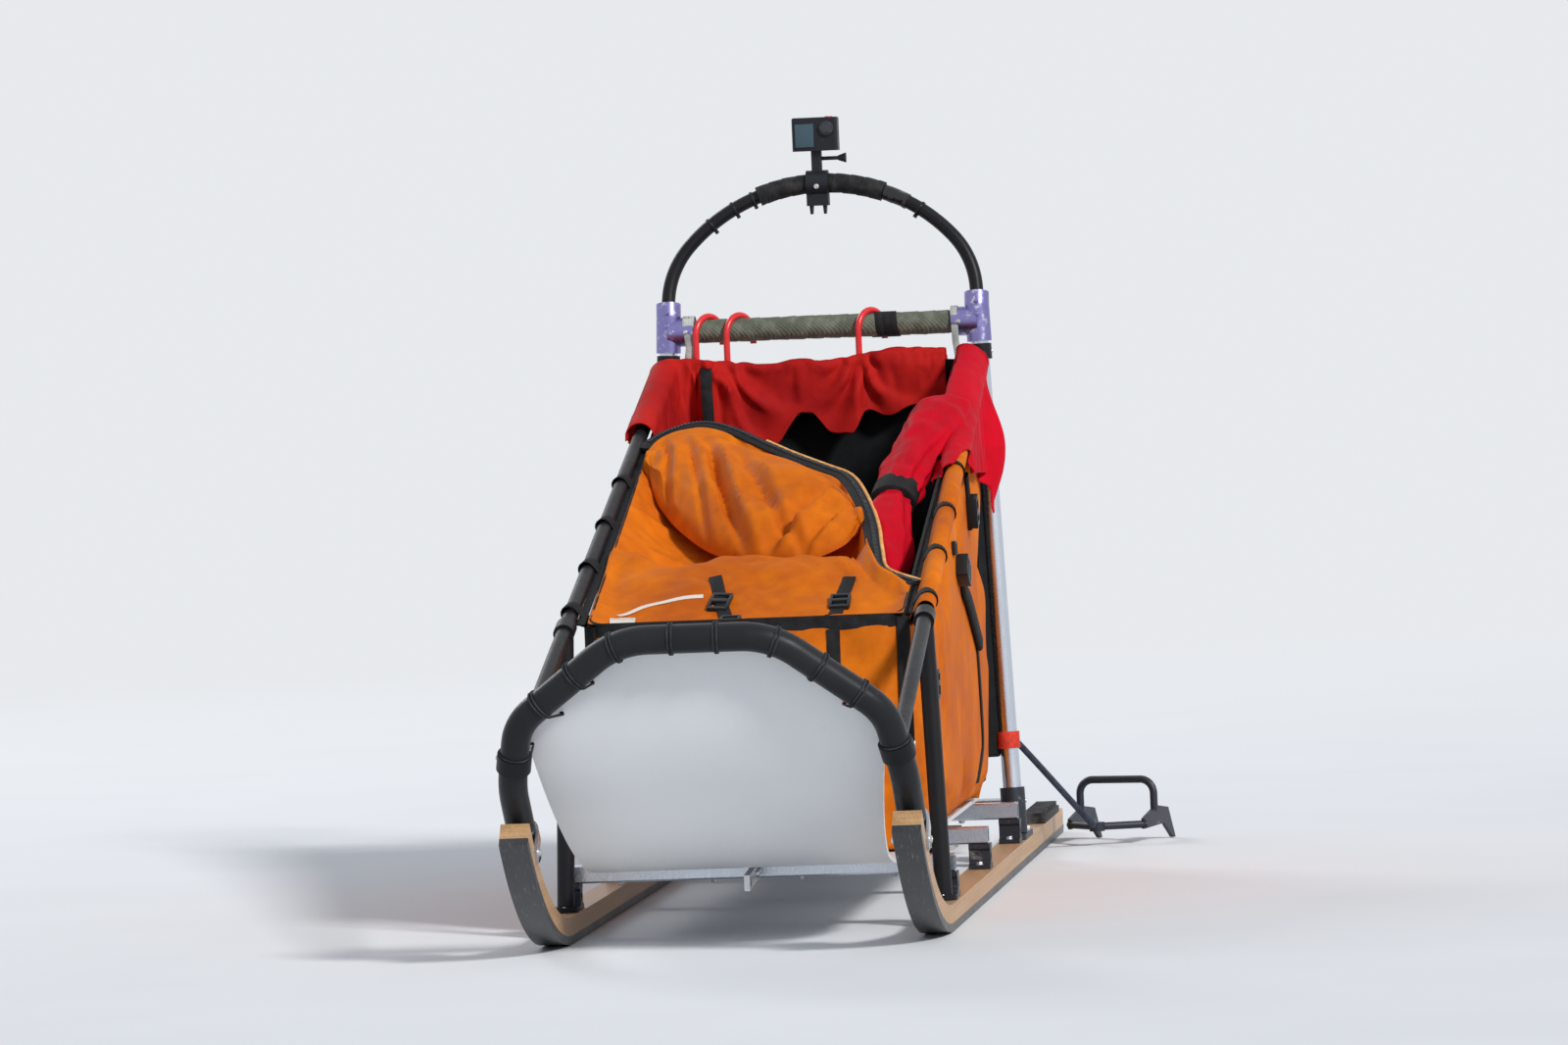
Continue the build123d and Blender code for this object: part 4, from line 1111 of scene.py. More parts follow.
def keep_clear(mesh: Mesh, bars: Iterable[tuple[Vector, Vector, float]]) -> None:
    """Moves a cloth's points out of round bars.

    Args:
        mesh: The cloth.
        bars: Start, end and radius of each bar, the cloth's clearance included.
    """
    for start, end, radius in bars:
        run = end - start
        for vert in mesh.verts:
            share = (vert.co - start).dot(run) / run.length_squared
            if not 0 <= share <= 1:
                continue
            away = vert.co - (start + run * share)
            if away.length < radius:
                vert.co += away.normalized() * (radius - away.length)


def round_off(thing: Thing) -> None:
    """Gives an object one level of subdivision."""
    rounded = thing.modifiers.new("Rounded", "SUBSURF")
    rounded.levels = rounded.render_levels = 1


def thicken(thing: Thing, thickness: float, inner_finish: int = 0) -> None:
    """Gives a cloth a smooth surface and its thickness.

    Args:
        thing: The cloth.
        thickness: In metres, inwards.
        inner_finish: How many places the inner side's material is further in the list.
    """
    round_off(thing)
    wall = thing.modifiers.new("Thickness", "SOLIDIFY")
    wall.thickness = thickness
    wall.offset = -1
    wall.material_offset = inner_finish
    wall.material_offset_rim = inner_finish


@dataclass(frozen=True)
class Rim:
    """The slanting plane of the bag's rim, just under the rails' axes."""

    slope: float = (RAIL_REAR.z - RAIL_FRONT.z) / (RAIL_REAR.y - RAIL_FRONT.y)

    def rail(self, y: float) -> float:
        """Returns the height of the rails' axes."""
        return RAIL_REAR.z + (y - RAIL_REAR.y) * self.slope

    def height(self, y: float) -> float:
        """Returns the height of the rim."""
        return self.rail(y) - RIM_DROP

    def point(self, x: float, y: float, lift: float = 0.0) -> Vector:
        """Returns a point over the rim's plane."""
        return Vector((x, y, self.height(y) + lift))

    def rail_x(self, y: float) -> float:
        """Returns the left rail's distance from the middle."""
        share = (y - RAIL_REAR.y) / (RAIL_FRONT.y - RAIL_REAR.y)
        return RAIL_REAR.x + (RAIL_FRONT.x - RAIL_REAR.x) * share

    def axis(self, y: float, side: int = 1) -> Vector:
        """Returns a point of a rail's axis, of the left one or of the right one at side -1."""
        return Vector((side * self.rail_x(y), y, self.rail(y)))

    def normal(self) -> Vector:
        """Returns the direction that the rim faces."""
        return Vector((0, -self.slope, 1)).normalized()


def rail_bars(clearance: float) -> list[tuple[Vector, Vector, float]]:
    """Returns both rails as bars that a cloth keeps clear of."""
    bars = []
    for side in (-1, 1):
        mirror = Vector((side, 1, 1))
        bars.append((RAIL_REAR * mirror, RAIL_FRONT * mirror, RAIL_RADIUS + clearance))
        bars.append((STANCHION_FOOT * mirror, ELBOW * mirror, STANCHION_RADIUS + clearance))
    return bars


def ease(value: float, low: float, high: float) -> float:
    """Returns 0 below low, 1 above high and a smooth step between."""
    share = min(max((value - low) / (high - low), 0.0), 1.0)
    return share * share * (3 - 2 * share)


def bell(value: float, centre: float, width: float) -> float:
    """Returns a soft bump that is 1 at its centre and falls away over its width."""
    return math.exp(-(((value - centre) / width) ** 2))


def along(table: Sequence[Pair], x: float) -> float:
    """Returns the value at x of a line through the table's pairs, held at its ends."""
    if x <= table[0][0]:
        return table[0][1]
    for (x0, y0), (x1, y1) in zip(table, table[1:]):
        if x <= x1:
            return y0 + (y1 - y0) * (x - x0) / (x1 - x0)
    return table[-1][1]


@dataclass
class BagWalls:
    """The bag's orange walls with their black lining, bindings and straps."""

    rim: Rim = field(default_factory=Rim)
    cloth: float = 0.0022
    corner: float = 0.032
    rear_bend: float = 0.090
    pitch: float = 0.015
    rings: int = 34
    cut: Cut = Cut(spare=0.028, pressure=0.35, gravity=0.2, bending=3.0, travel=0.017)
    sewn_top: float = 0.012
    sewn_floor: float = 0.022
    corner_hold: float = 0.75
    binding_width: float = 0.020
    binding_thickness: float = 0.0030

    def outline(self, share: float) -> list[Vector]:
        """Returns the bag's outline at a share of its height, 0 at the floor and 1 at the rim."""
        rear_height = self.rim.height(BAG_REAR) - BED_TOP
        rise = min(share * rear_height, self.rear_bend)
        inset = self.rear_bend - math.sqrt(self.rear_bend**2 - (self.rear_bend - rise) ** 2)
        shrunk = 1 - inset / (BAG_REAR - BAG_FRONT)
        low = BED_TOP + self.cloth + SEAM
        points = []
        for point in rounded_plan(BAG_HALF, BAG_FRONT, BAG_REAR, self.corner, self.pitch):
            y = BAG_FRONT + (point.y - BAG_FRONT) * shrunk
            z = low + (self.rim.height(point.y) - low) * share
            points.append(Vector((point.x, y, z)))
        return points

    def body(self, shop: Shop) -> Thing:
        """Makes the walls and floor as one cloth that bellies out between its seams."""
        mesh = bmesh.new()
        verts, edges = ring(mesh, self.outline(0))
        floor_edges = edges
        for step in range(1, self.rings + 1):
            verts, edges = extruded(mesh, edges)
            self.raise_ring(verts, (step - 1) / self.rings, step / self.rings)
        bmesh.ops.recalc_face_normals(mesh, faces=mesh.faces)
        first = next(iter(mesh.faces))
        if first.normal.dot(first.calc_center_median() - Vector((0, 0, 0.3))) < 0:
            bmesh.ops.reverse_faces(mesh, faces=mesh.faces)
        settle(mesh, self.held, self.cut)
        bmesh.ops.contextual_create(mesh, geom=floor_edges)
        split_caps(mesh)
        bmesh.ops.recalc_face_normals(mesh, faces=mesh.faces)
        keep_clear(mesh, rail_bars(0.0008))
        finishes = ("orange", "lining")
        thing = shop.piece(mesh, "bag_walls", finishes, Slot.ORANGE, replaces=("bag_shell",), smooth=70)
        thicken(thing, self.cloth, 1)
        flat = (2 * (BAG_REAR - BAG_FRONT) + 4 * BAG_HALF, 0.90)
        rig.sheet(thing, flat=flat, held="stretched", rests_on=["bed_sheet"], area=2.15)
        return thing

    def raise_ring(self, verts: Sequence[bmesh.types.BMVert], low: float, high: float) -> None:
        """Moves a ring of the wall from one share of its height to another.

        Args:
            verts: The ring's points, which lie where the ring below does.
            low: The share that they have.
            high: The share that they get.
        """
        pairs = list(zip(self.outline(low), self.outline(high)))
        for vert in verts:
            vert.co = min(pairs, key=lambda pair: (pair[0] - vert.co).length_squared)[1]

    def held(self, point: Vector) -> float:
        """Returns how firmly the wall is held: at its rim, floor and corner seams."""
        top = self.rim.height(point.y) - point.z
        if top < self.sewn_top or point.z < BED_TOP + self.sewn_floor:
            return 1.0
        near_end = min(point.y - BAG_FRONT, BAG_REAR - point.y)
        if abs(point.x) > BAG_HALF - self.corner and near_end < self.corner:
            return self.corner_hold
        return 0.0

    def rim_binding(self, shop: Shop) -> Thing:
        """Makes the black tape over the rim's edge."""
        path = [point + DOWN * self.binding_width * 0.35 for point in self.outline(1.0)]
        middle = (BAG_FRONT + BAG_REAR) / 2
        half, thick = self.binding_width / 2, self.binding_thickness
        section = [(-half, -thick), (half, -thick), (half, thick * 0.6), (-half, thick * 0.6)]
        outward = [Vector((p.x, (p.y - middle) * 0.4, 0)).normalized() for p in path]
        mesh = sweep(path, section, up=outward, closed=True)
        soften(mesh, mesh.edges, 0.0008, 1)
        return shop.piece(mesh, "rim_binding", "binding", Slot.ORANGE)

    def build(self, shop: Shop) -> Thing:
        """Makes the walls and the tape on their rim, and returns the walls."""
        wall = self.body(shop)
        self.rim_binding(shop)
        return wall


def thrown_over(axis: Vector, inward: Vector, radius: float, run: float, lean: float = 0.0) -> Vector:
    """Returns a point of a cloth that is thrown over a bar.

    Args:
        axis: The bar's nearest point.
        inward: The level direction from the bar into the bag.
        radius: The bend's radius over the bar.
        run: The distance along the cloth from the bar's top, positive on the inside.
        lean: How far it swings away from the bar for each metre that it hangs.
    """
    quarter = math.pi * radius / 2
    if abs(run) <= quarter:
        turn = run / radius
        return axis + inward * (radius * math.sin(turn)) + Vector((0, 0, radius * math.cos(turn)))
    hang = abs(run) - quarter
    side = math.copysign(1, run)
    return axis + inward * side * (radius + hang * lean) - Vector((0, 0, hang))


@dataclass
class BagCover:
    """The bag's cover: the slanting front, a hollow behind its ridge, and the puffy lobe at its rear edge."""

    rim: Rim = field(default_factory=Rim)
    half: float = 0.2262
    columns: int = 44
    rows: int = 66
    cloth: float = 0.0022
    ridge_left: float = -0.315
    ridge_middle: float = -0.366
    ridge_lift: float = 0.028
    hollow: float = 0.062
    rear_edge: Table = (
        (-0.2262, 0.165), (-0.208, 0.205), (-0.185, 0.228), (-0.155, 0.236), (-0.110, 0.204),
        (-0.032, 0.129), (0.044, 0.050), (0.083, 0.000), (0.117, -0.116), (0.138, -0.219),
        (0.152, -0.320), (0.170, -0.410), (0.2262, -0.470),
    )
    cut: Cut = Cut(spare=0.04, gravity=0.5, bending=1.2, travel=0.018)
    lobe_rear: Table = (
        (-0.222, 0.100), (-0.205, 0.160), (-0.160, 0.185), (-0.100, 0.150), (-0.032, 0.085),
        (0.044, 0.008), (0.088, -0.052), (0.118, -0.130), (0.133, -0.182),
    )
    lobe_front: Table = (
        (-0.224, 0.092), (-0.215, 0.040), (-0.186, -0.020), (-0.150, -0.085), (-0.100, -0.165),
        (-0.030, -0.232), (0.040, -0.258), (0.098, -0.248), (0.135, -0.190),
    )
    lobe_height: float = 0.060
    lobe_sink: float = 0.040
    lobe_cut: Cut = Cut(spare=0.07, pressure=1.0, gravity=0.25, bending=0.5, travel=0.014, frames=22)
    pleats: tuple[tuple[float, float, float, float], ...] = (
        (0.20, 0.16, 0.020, 0.30),
        (0.33, 0.30, 0.016, 0.26),
        (0.43, 0.34, 0.020, 0.52),
        (0.56, 0.40, 0.016, 0.42),
        (0.73, -0.16, 0.022, 0.54),
        (0.86, -0.22, 0.015, 0.36),
    )
    pull: Point = (0.014, -0.13, 0.08)
    corner_rise: float = 0.016
    tape_width: float = 0.024
    piping_radius: float = 0.0030
    piping_from: float = -0.060
    tooth: Point = (0.006, 0.0022, 0.003)

    def rear(self, x: float) -> float:
        """Returns where the cover's rear edge lies."""
        return along(self.rear_edge, x)

    def edge_lift(self, x: float) -> float:
        """Returns how high the lobe pulls the rear edge over the rim's plane."""
        height, centre, width = self.pull
        return height * bell(x, centre, width)

    def lift(self, x: float, y: float) -> float:
        """Returns the cover's height over the rim's plane."""
        middle = 1 - abs(x / self.half) ** 4
        ridge = self.ridge_left + (self.ridge_middle - self.ridge_left) * ease(x, -self.half, -0.10)
        up = self.ridge_lift * ease(y, BAG_FRONT, ridge) * (1 - ease(y, ridge, ridge + 0.07))
        corner = self.corner_rise * bell(x, -0.20, 0.03) * bell(y, ridge, 0.035)
        rear = self.rear(x)
        hollow = ease(y, ridge + 0.01, ridge + 0.16) * (1 - ease(y, rear - 0.10, rear - 0.01))
        slack = ease(y, BAG_FRONT, ridge - 0.04) * (1 - ease(y, ridge + 0.03, ridge + 0.14))
        wide = 0.012 * noise.noise(Vector((x * 11, y * 16, 4.0)))
        fine = 0.007 * noise.noise(Vector((x * 30 + y * 22, y * 18, 8.0)))
        shape = up - self.hollow * hollow + slack * (wide + fine)
        return middle * shape + corner + self.edge_lift(x) * ease(y, rear - 0.09, rear)

    def sheet(self, shop: Shop) -> Thing:
        """Makes the cover's sheet."""
        front = BAG_FRONT + 0.001

        def place(u: float, v: float) -> Vector:
            """Returns the sheet's point at two shares of its width and length."""
            x = (u - 0.5) * 2 * self.half
            y = front + v * (self.rear(x) - front)
            return self.rim.point(x, y, self.lift(x, y) + 0.0035)

        mesh = cloth_grid(self.columns, self.rows, place)
        settle(mesh, self.held, self.cut, seed=2)
        finishes, nodes = ("orange", "lining"), ("bag_cover",)
        thing = shop.piece(mesh, "bag_cover_cloth", finishes, Slot.ORANGE, replaces=nodes, smooth=70)
        thicken(thing, self.cloth, 1)
        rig.sheet(thing, flat=(0.46, 0.98), held="stretched", rests_on=["bag_walls"], area=0.33)
        return thing

    def held(self, point: Vector) -> float:
        """Returns how firmly the cover is held: at its sewn sides, its front and its rear edge."""
        side = abs(point.x) > self.half - 0.006
        end = point.y < BAG_FRONT + 0.008 or point.y > self.rear(point.x) - 0.010
        return 1.0 if side or end else 0.0

    def edge_path(self, start: float, inset: float, lift: float) -> list[Vector]:
        """Returns points along the rear edge.

        Args:
            start: The x where it begins.
            inset: How far outside the cover's edge it lies, in the rim's plane.
            lift: Its height over the rim's plane.
        """
        pairs = [(start, self.rear(start)), *((x, y) for x, y in self.rear_edge if x > start)]
        line = smooth_path([(x, y, 0) for x, y in pairs])
        points = []
        for i, point in enumerate(line):
            ahead = line[min(i + 1, len(line) - 1)] - line[max(i - 1, 0)]
            outward = Vector((-ahead.y, ahead.x, 0)).normalized()
            spot = point + outward * inset
            points.append(self.rim.point(spot.x, spot.y, lift + self.edge_lift(point.x)))
        return points

    def edging(self, shop: Shop) -> None:
        """Makes the black zip tape, its teeth and the pale piping along the rear edge."""
        normal = self.rim.normal()
        tape_path = self.edge_path(-self.half, self.tape_width * 0.35, 0.0015)
        zip_tape = sweep(tape_path, tape(self.tape_width, 0.004), up=normal)
        shop.piece(zip_tape, "cover_zip_tape", "binding", Slot.ORANGE)
        path = self.edge_path(self.piping_from, self.tape_width * 0.85, 0.004)
        shop.piece(sweep(path, disc(self.piping_radius, 10)), "cover_piping", "piping", Slot.ORANGE)
        teeth = bmesh.new()
        run = even_points(self.edge_path(-self.half + 0.01, self.tape_width * 0.45, 0.0062), self.tooth[0])
        for turn in path_frames(run, normal, False):
            bmesh.ops.create_cube(teeth, size=1, matrix=turn @ Matrix.Diagonal((*self.tooth, 1)))
        shop.piece(teeth, "cover_zip_teeth", "dark_steel", Slot.ORANGE, smooth=None)

    def on_lobe(self, t: float, angle: float) -> Vector:
        """Returns a point of the lobe's skin.

        Args:
            t: 0 at its left tip and 1 at its right tip.
            angle: The angle round it: 0 at its rear, a quarter turn on top and half a turn at its front.
        """
        rear, front = (self.lobe_side(side, t) for side in (self.lobe_rear, self.lobe_front))
        share = (1 - math.cos(angle)) / 2
        spot = rear.lerp(front, share)
        belly = max(math.sin(math.pi * t), 0.0)
        sink = -self.lobe_sink * belly * share**1.6
        round_over = abs(math.sin(angle)) ** 0.85
        if angle < 0:
            return self.rim.point(spot.x, spot.y, sink - 0.012 * round_over * belly + 0.006)
        folds = noise.noise(Vector((t * 6.0 + share * 2.0, share * 3.0, 3.0))) * 0.34
        gather = noise.noise(Vector((t * 3.0, share * 15.0, 7.0))) * (0.06 + 0.95 * abs(t - 0.5) ** 1.5)
        for place, slant, width, depth in self.pleats:
            away = (t - place - slant * (share - 0.5)) / width
            furrow, shoulder = bell(away, 0, 1), bell(away, 1.9, 1)
            folds += depth * (0.5 * shoulder - furrow) * ease(share, 0.12, 0.5)
        height = self.lobe_height * belly**0.55 * (1 + folds + gather)
        return self.rim.point(spot.x, spot.y, sink + height * round_over + 0.006)

    @staticmethod
    def lobe_side(line: Table, t: float) -> Vector:
        """Returns the point at a share of a line's pieces, eased through its corners."""
        place = min(t, 0.9999) * (len(line) - 1)
        return curve_point([Vector(p) for p in line], int(place), place - int(place))

    def lobe(self, shop: Shop) -> Thing:
        """Makes the puffy lobe of spare cloth that leans on the rear edge."""
        mesh = bmesh.new()
        lying = Matrix.Rotation(math.pi / 2, 4, "Y")
        bmesh.ops.create_uvsphere(mesh, u_segments=64, v_segments=72, radius=1, matrix=lying)
        for vert in mesh.verts:
            t = math.acos(min(max(-vert.co.x, -1.0), 1.0)) / math.pi
            vert.co = self.on_lobe(t, math.atan2(vert.co.z, vert.co.y))
        bmesh.ops.recalc_face_normals(mesh, faces=mesh.faces)
        tips = self.on_lobe(0.0, 0.0), self.on_lobe(1.0, 0.0)

        def held(point: Vector) -> float:
            """Returns 1 at the lobe's tips, where it is sewn, and 0 between them."""
            return 1.0 if min((point - tip).length for tip in tips) < 0.02 else 0.0

        settle(mesh, held, self.lobe_cut, seed=3)
        thing = shop.piece(mesh, "cover_roll", "orange", Slot.ORANGE, smooth=80)
        round_off(thing)
        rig.padded(thing, fill=0.5)
        return thing

    def build(self, shop: Shop) -> Thing:
        """Makes the cover and returns its sheet."""
        cover = self.sheet(shop)
        self.edging(shop)
        self.lobe(shop)
        return cover


def even_points(path: Sequence[Vector], step: float) -> list[Vector]:
    """Returns points along a path at an even spacing."""
    points, left = [path[0]], step
    for start, end in zip(path, path[1:]):
        length = (end - start).length
        travelled = left
        while travelled <= length:
            points.append(start.lerp(end, travelled / length))
            travelled += step
        left = travelled - length
    return points


@dataclass
class Collar:
    """The red cloth that lines the bag's rear, hung from the hooks and thrown over the right rail."""

    rim: Rim = field(default_factory=Rim)
    cloth: float = 0.0018
    across: int = 130
    down: int = 36
    front: float = 0.235
    wall_line: float = 0.5575
    end_x: float = 0.192
    turn: float = 0.034
    hooks: tuple[float, ...] = (-0.1958, -0.1478, 0.0572)
    rear_bend: float = 0.011
    rail_bend: float = 0.021
    outside_rear: float = 0.034
    outside_rail: float = 0.085
    inside: Table = (
        (-0.200, 0.150), (-0.090, 0.140), (-0.060, 0.122), (-0.035, 0.080), (-0.015, 0.078),
        (0.005, 0.112), (0.045, 0.118), (0.062, 0.092), (0.095, 0.100), (0.130, 0.094),
        (0.175, 0.082), (0.200, 0.070),
    )
    fold_depth: float = 0.010
    fan_depth: float = 0.0210
    fan_reach: float = 0.11
    wall_gap: float = 0.005
    peak: Point = (0.012, 0.135, 0.05)
    strap_line: Table = (
        (0.549, 0.006), (0.536, 0.004), (0.514, -0.012), (0.500, -0.046), (0.496, -0.100), (0.497, -0.150)
    )
    cut: Cut = Cut(spare=0.06, gravity=0.8, bending=0.5, travel=0.016, frames=26)

    def route(self, share: float) -> tuple[Vector, Vector, float]:
        """Returns the line that the cloth is thrown over.

        Args:
            share: 0 at its front end on the right rail and 1 at its end behind the bag.

        Returns:
            The line's point, the way into the bag, and 0 on the rail to 1 on the rear wall.
        """
        side_run = self.wall_line - self.turn - self.front
        bend_run = math.pi / 2 * self.turn
        rear_run = self.end_x + BAG_HALF - self.turn
        run = share * (side_run + bend_run + rear_run)
        rail_x = self.rim.rail_x(self.wall_line - self.turn)
        if run < side_run:
            y = self.front + run
            return self.rim.axis(y, -1), Vector((1, 0, 0)), 0.0
        run -= side_run
        if run < bend_run:
            angle = run / self.turn
            part = run / bend_run
            x = -(rail_x + (BAG_HALF - rail_x) * part) + self.turn * (1 - math.cos(angle))
            y = self.wall_line - self.turn + self.turn * math.sin(angle)
            inward = Vector((math.cos(angle), -math.sin(angle), 0))
            return Vector((x, y, self.rim.rail(y))), inward, part
        x = -BAG_HALF + self.turn + run - bend_run
        return Vector((x, self.wall_line, self.rim.rail(self.wall_line))), Vector((0, -1, 0)), 1.0

    def place(self, share: float, across: float) -> Vector:
        """Returns a point of the cloth before it settles.

        Args:
            share: 0 at its front end on the right rail and 1 at its end behind the bag.
            across: 0 at its outer edge and 1 at its inner edge.
        """
        axis, inward, rear = self.route(share)
        bend = self.rail_bend + (self.rear_bend - self.rail_bend) * rear
        outside = self.outside_rail + (self.outside_rear - self.outside_rail) * rear
        outside *= 0.45 + 0.55 * ease(share, 0.0, 0.16)
        inside = along(self.inside, axis.x) * (0.55 + 0.45 * ease(share, 0.0, 0.10))
        inside += 0.010 * noise.noise(Vector((share * 22, 3.0, 9.0))) * rear
        run = -outside + across * (outside + inside)
        hang = max(abs(run) - math.pi * bend / 2, 0.0)
        folds = math.sin(share * 34 + hang * 9 * math.sin(share * 21)) * 0.5
        folds += noise.noise(Vector((share * 16, hang * 7, 1.0)))
        if run > 0:
            spot = thrown_over(axis, inward, bend, run, 0.10)
            depth = self.fold_depth * ease(hang, 0.0, 0.05)
            clear = self.wall_gap * rear * ease(hang, 0.0, 0.015)
            spot += inward * (folds * depth * 0.6 + self.fan(axis.x, hang) * rear + clear + depth)
        else:
            spot = thrown_over(axis, inward, bend, run)
            spot += inward * (folds * 0.003 * ease(hang, 0.0, 0.03) * 0.6)
        height, centre, width = self.peak
        spot.z += 0.007 * rear * noise.noise(Vector((share * 13, 0.5, 0.5)))
        spot.z += height * bell(axis.x, centre, width) * rear
        return spot

    def build(self, shop: Shop) -> Thing:
        """Makes the cloth and the black strap that hangs down over it."""
        mesh = cloth_grid(self.across, self.down, self.place)
        settle(mesh, self.held, self.cut, seed=4)
        keep_clear(mesh, rail_bars(0.004))
        thing = shop.piece(mesh, "collar_cloth", "red", Slot.RED, replaces=("bag_collar",), smooth=80)
        thicken(thing, self.cloth)
        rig.sheet(thing, flat=(0.78, 0.21), held="gathered", rests_on=["side_rail_right", "bag_walls"])
        self.strap(shop)
        return thing

    def fan(self, x: float, hang: float) -> float:
        """Returns how far the hooks' folds stand into the bag, at an x and a depth below the wall's top."""
        total = 0.0
        for hook in self.hooks:
            away = math.hypot(x - hook, hang)
            ray = 0.5 + 0.5 * math.sin(math.atan2(x - hook, hang + 0.012) * 9 + hook * 40)
            total += ray * self.fan_depth * ease(away, 0.0, 0.03) * math.exp(-away / self.fan_reach)
        return total

    def held(self, point: Vector) -> float:
        """Returns how firmly the cloth is held: on the rail's top and at the hooks."""
        if point.z < self.rim.rail(point.y) + 0.004:
            return 0.0
        if point.y < self.wall_line - self.turn:
            return 1.0
        near = min(abs(point.x - hook) for hook in (*self.hooks, -0.215, self.end_x))
        return 1.0 if near < 0.008 else 0.3

    def strap(self, shop: Shop) -> None:
        """Makes the black strap that hangs from the first hook's place over the cloth."""
        top = self.rim.rail(self.wall_line)
        line = enumerate(self.strap_line)
        path = smooth_path([(-0.180 + 0.002 * i, y, top + lift) for i, (y, lift) in line])
        mesh = sweep(path, tape(0.018, 0.0026), up=Vector((0.05, -1, 0.4)))
        shop.piece(mesh, "collar_strap", "binding", Slot.RED)


@dataclass
class Flap:
    """The crimson storm flap: thrown over the left rail, with a rolled tail inside the bag."""

    rim: Rim = field(default_factory=Rim)
    cloth: float = 0.0020
    front: float = 0.000
    rear: float = 0.535
    rows: int = 66
    columns: int = 50
    cut: Cut = Cut(spare=0.06, gravity=0.9, bending=0.6, travel=0.018, frames=28)
    bend: Table = ((0.00, 0.018), (0.15, 0.021), (0.30, 0.027), (0.50, 0.031), (0.535, 0.028))
    inset: Table = ((0.00, 0.002), (0.15, 0.006), (0.30, 0.013), (0.42, 0.019), (0.535, 0.019))
    outside: Table = (
        (0.000, -0.026), (0.060, -0.018), (0.110, -0.002), (0.160, 0.046), (0.250, 0.072),
        (0.400, 0.118), (0.455, 0.152), (0.485, 0.205), (0.510, 0.195), (0.535, 0.120),
    )
    inside: float = 0.090
    fold_depth: float = 0.008
    rail_gap: float = 0.0055
    outer_limit: float = 0.302
    leaf_limit: float = BAG_HALF - 0.010
    tail: tuple[Point, ...] = (
        (0.226, 0.310, 0.002),
        (0.214, 0.225, 0.008),
        (0.196, 0.130, 0.006),
        (0.174, 0.035, -0.004),
        (0.162, -0.070, -0.016),
        (0.163, -0.180, -0.034),
        (0.178, -0.300, -0.058),
    )
    tail_radius: float = 0.036
    tail_flat: Pair = (1.05, 0.86)
    tail_limit: float = BAG_HALF - 0.012
    cuff_at: float = 0.60
    cuff_flat: Pair = (1.05, 0.90)

    def place(self, u: float, v: float) -> Vector:
        """Returns a point of the leaf before it settles.

        Args:
            u: 0 at its hanging tip and 1 at its inner edge.
            v: 0 at its front end and 1 at its rear end.
        """
        y = self.front + v * (self.rear - self.front)
        bend = along(self.bend, y)
        over = math.pi * bend / 2
        outside = over + along(self.outside, y)
        inside = over + self.inside * ease(y, -0.02, 0.12)
        run = -outside + u * (outside + inside)
        axis = self.rim.axis(y)
        axis.x = self.rim.rail_x(y) - along(self.inset, y)
        hang = max(abs(run) - over, 0.0)
        spot = thrown_over(axis, Vector((-1, 0, 0)), bend, run, 0.0 if run < 0 else 0.06)
        if run < 0:
            spread = 0.032 * ease(hang, 0.0, 0.10) - 0.024 * ease(hang, 0.12, 0.20)
            spot.x += spread * ease(y, 0.42, 0.47)
        folds = math.sin(y * 62 + run * 14) * 0.5 + noise.noise(Vector((y * 17, run * 9, 2.0)))
        creases = 0.003 * noise.noise(Vector((y * 26, run * 26, 5.0)))
        spot.x += folds * self.fold_depth * ease(hang, 0.0, 0.05) + creases
        spot.x = min(spot.x, self.outer_limit)
        return spot

    def leaf(self, shop: Shop) -> Thing:
        """Makes the part over the rail."""
        mesh = cloth_grid(self.columns, self.rows, self.place)
        settle(mesh, self.held, self.cut, seed=5)
        keep_clear(mesh, rail_bars(self.rail_gap))
        for vert in mesh.verts:
            if vert.co.x < self.rim.rail_x(vert.co.y) and vert.co.z < self.rim.height(vert.co.y):
                vert.co.x = min(vert.co.x, self.leaf_limit)
        nodes = ("storm_flap",)
        thing = shop.piece(mesh, "storm_flap_leaf", "crimson", Slot.RED, replaces=nodes, smooth=80)
        thicken(thing, self.cloth)
        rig.sheet(thing, flat=(0.38, 0.47), held="draped", rests_on=["side_rail_left"], area=0.13)
        return thing

    def held(self, point: Vector) -> float:
        """Returns how firmly the flap is held: where it lies on the rail."""
        away = Vector((point.x - self.rim.rail_x(point.y), 0, point.z - self.rim.rail(point.y)))
        return 1.0 if away.length < 0.040 and away.z > 0.010 else 0.0

    def tail_roll(self, shop: Shop) -> None:
        """Makes the rolled tail along the bag's inside and its black cuff."""
        path = smooth_path([self.rim.point(*p) for p in self.tail], 10)
        length = sum((b - a).length for a, b in zip(path, path[1:]))

        def creased(distance: float, angle: float) -> float:
            """Returns the tail's swelling: soft rings and long folds, drawn in at the cuff and its end."""
            t = distance / length
            ring = noise.noise(Vector((distance * 30, math.cos(angle) * 1.2, math.sin(angle) * 1.2)))
            long = noise.noise(Vector((distance * 6, math.cos(angle) * 3, math.sin(angle) * 3)))
            end = ease(t, 0.0, 0.08) * (1 - 0.70 * ease(t, 0.86, 1.0))
            shoulder = 0.30 * bell(t, 0.16, 0.14)
            waist = 1 - 0.30 * bell(t, self.cuff_at, 0.045)
            swell = 1 + 0.22 * ring + 0.26 * long + shoulder
            return max(swell * waist * (0.20 + 0.80 * end), 0.05)

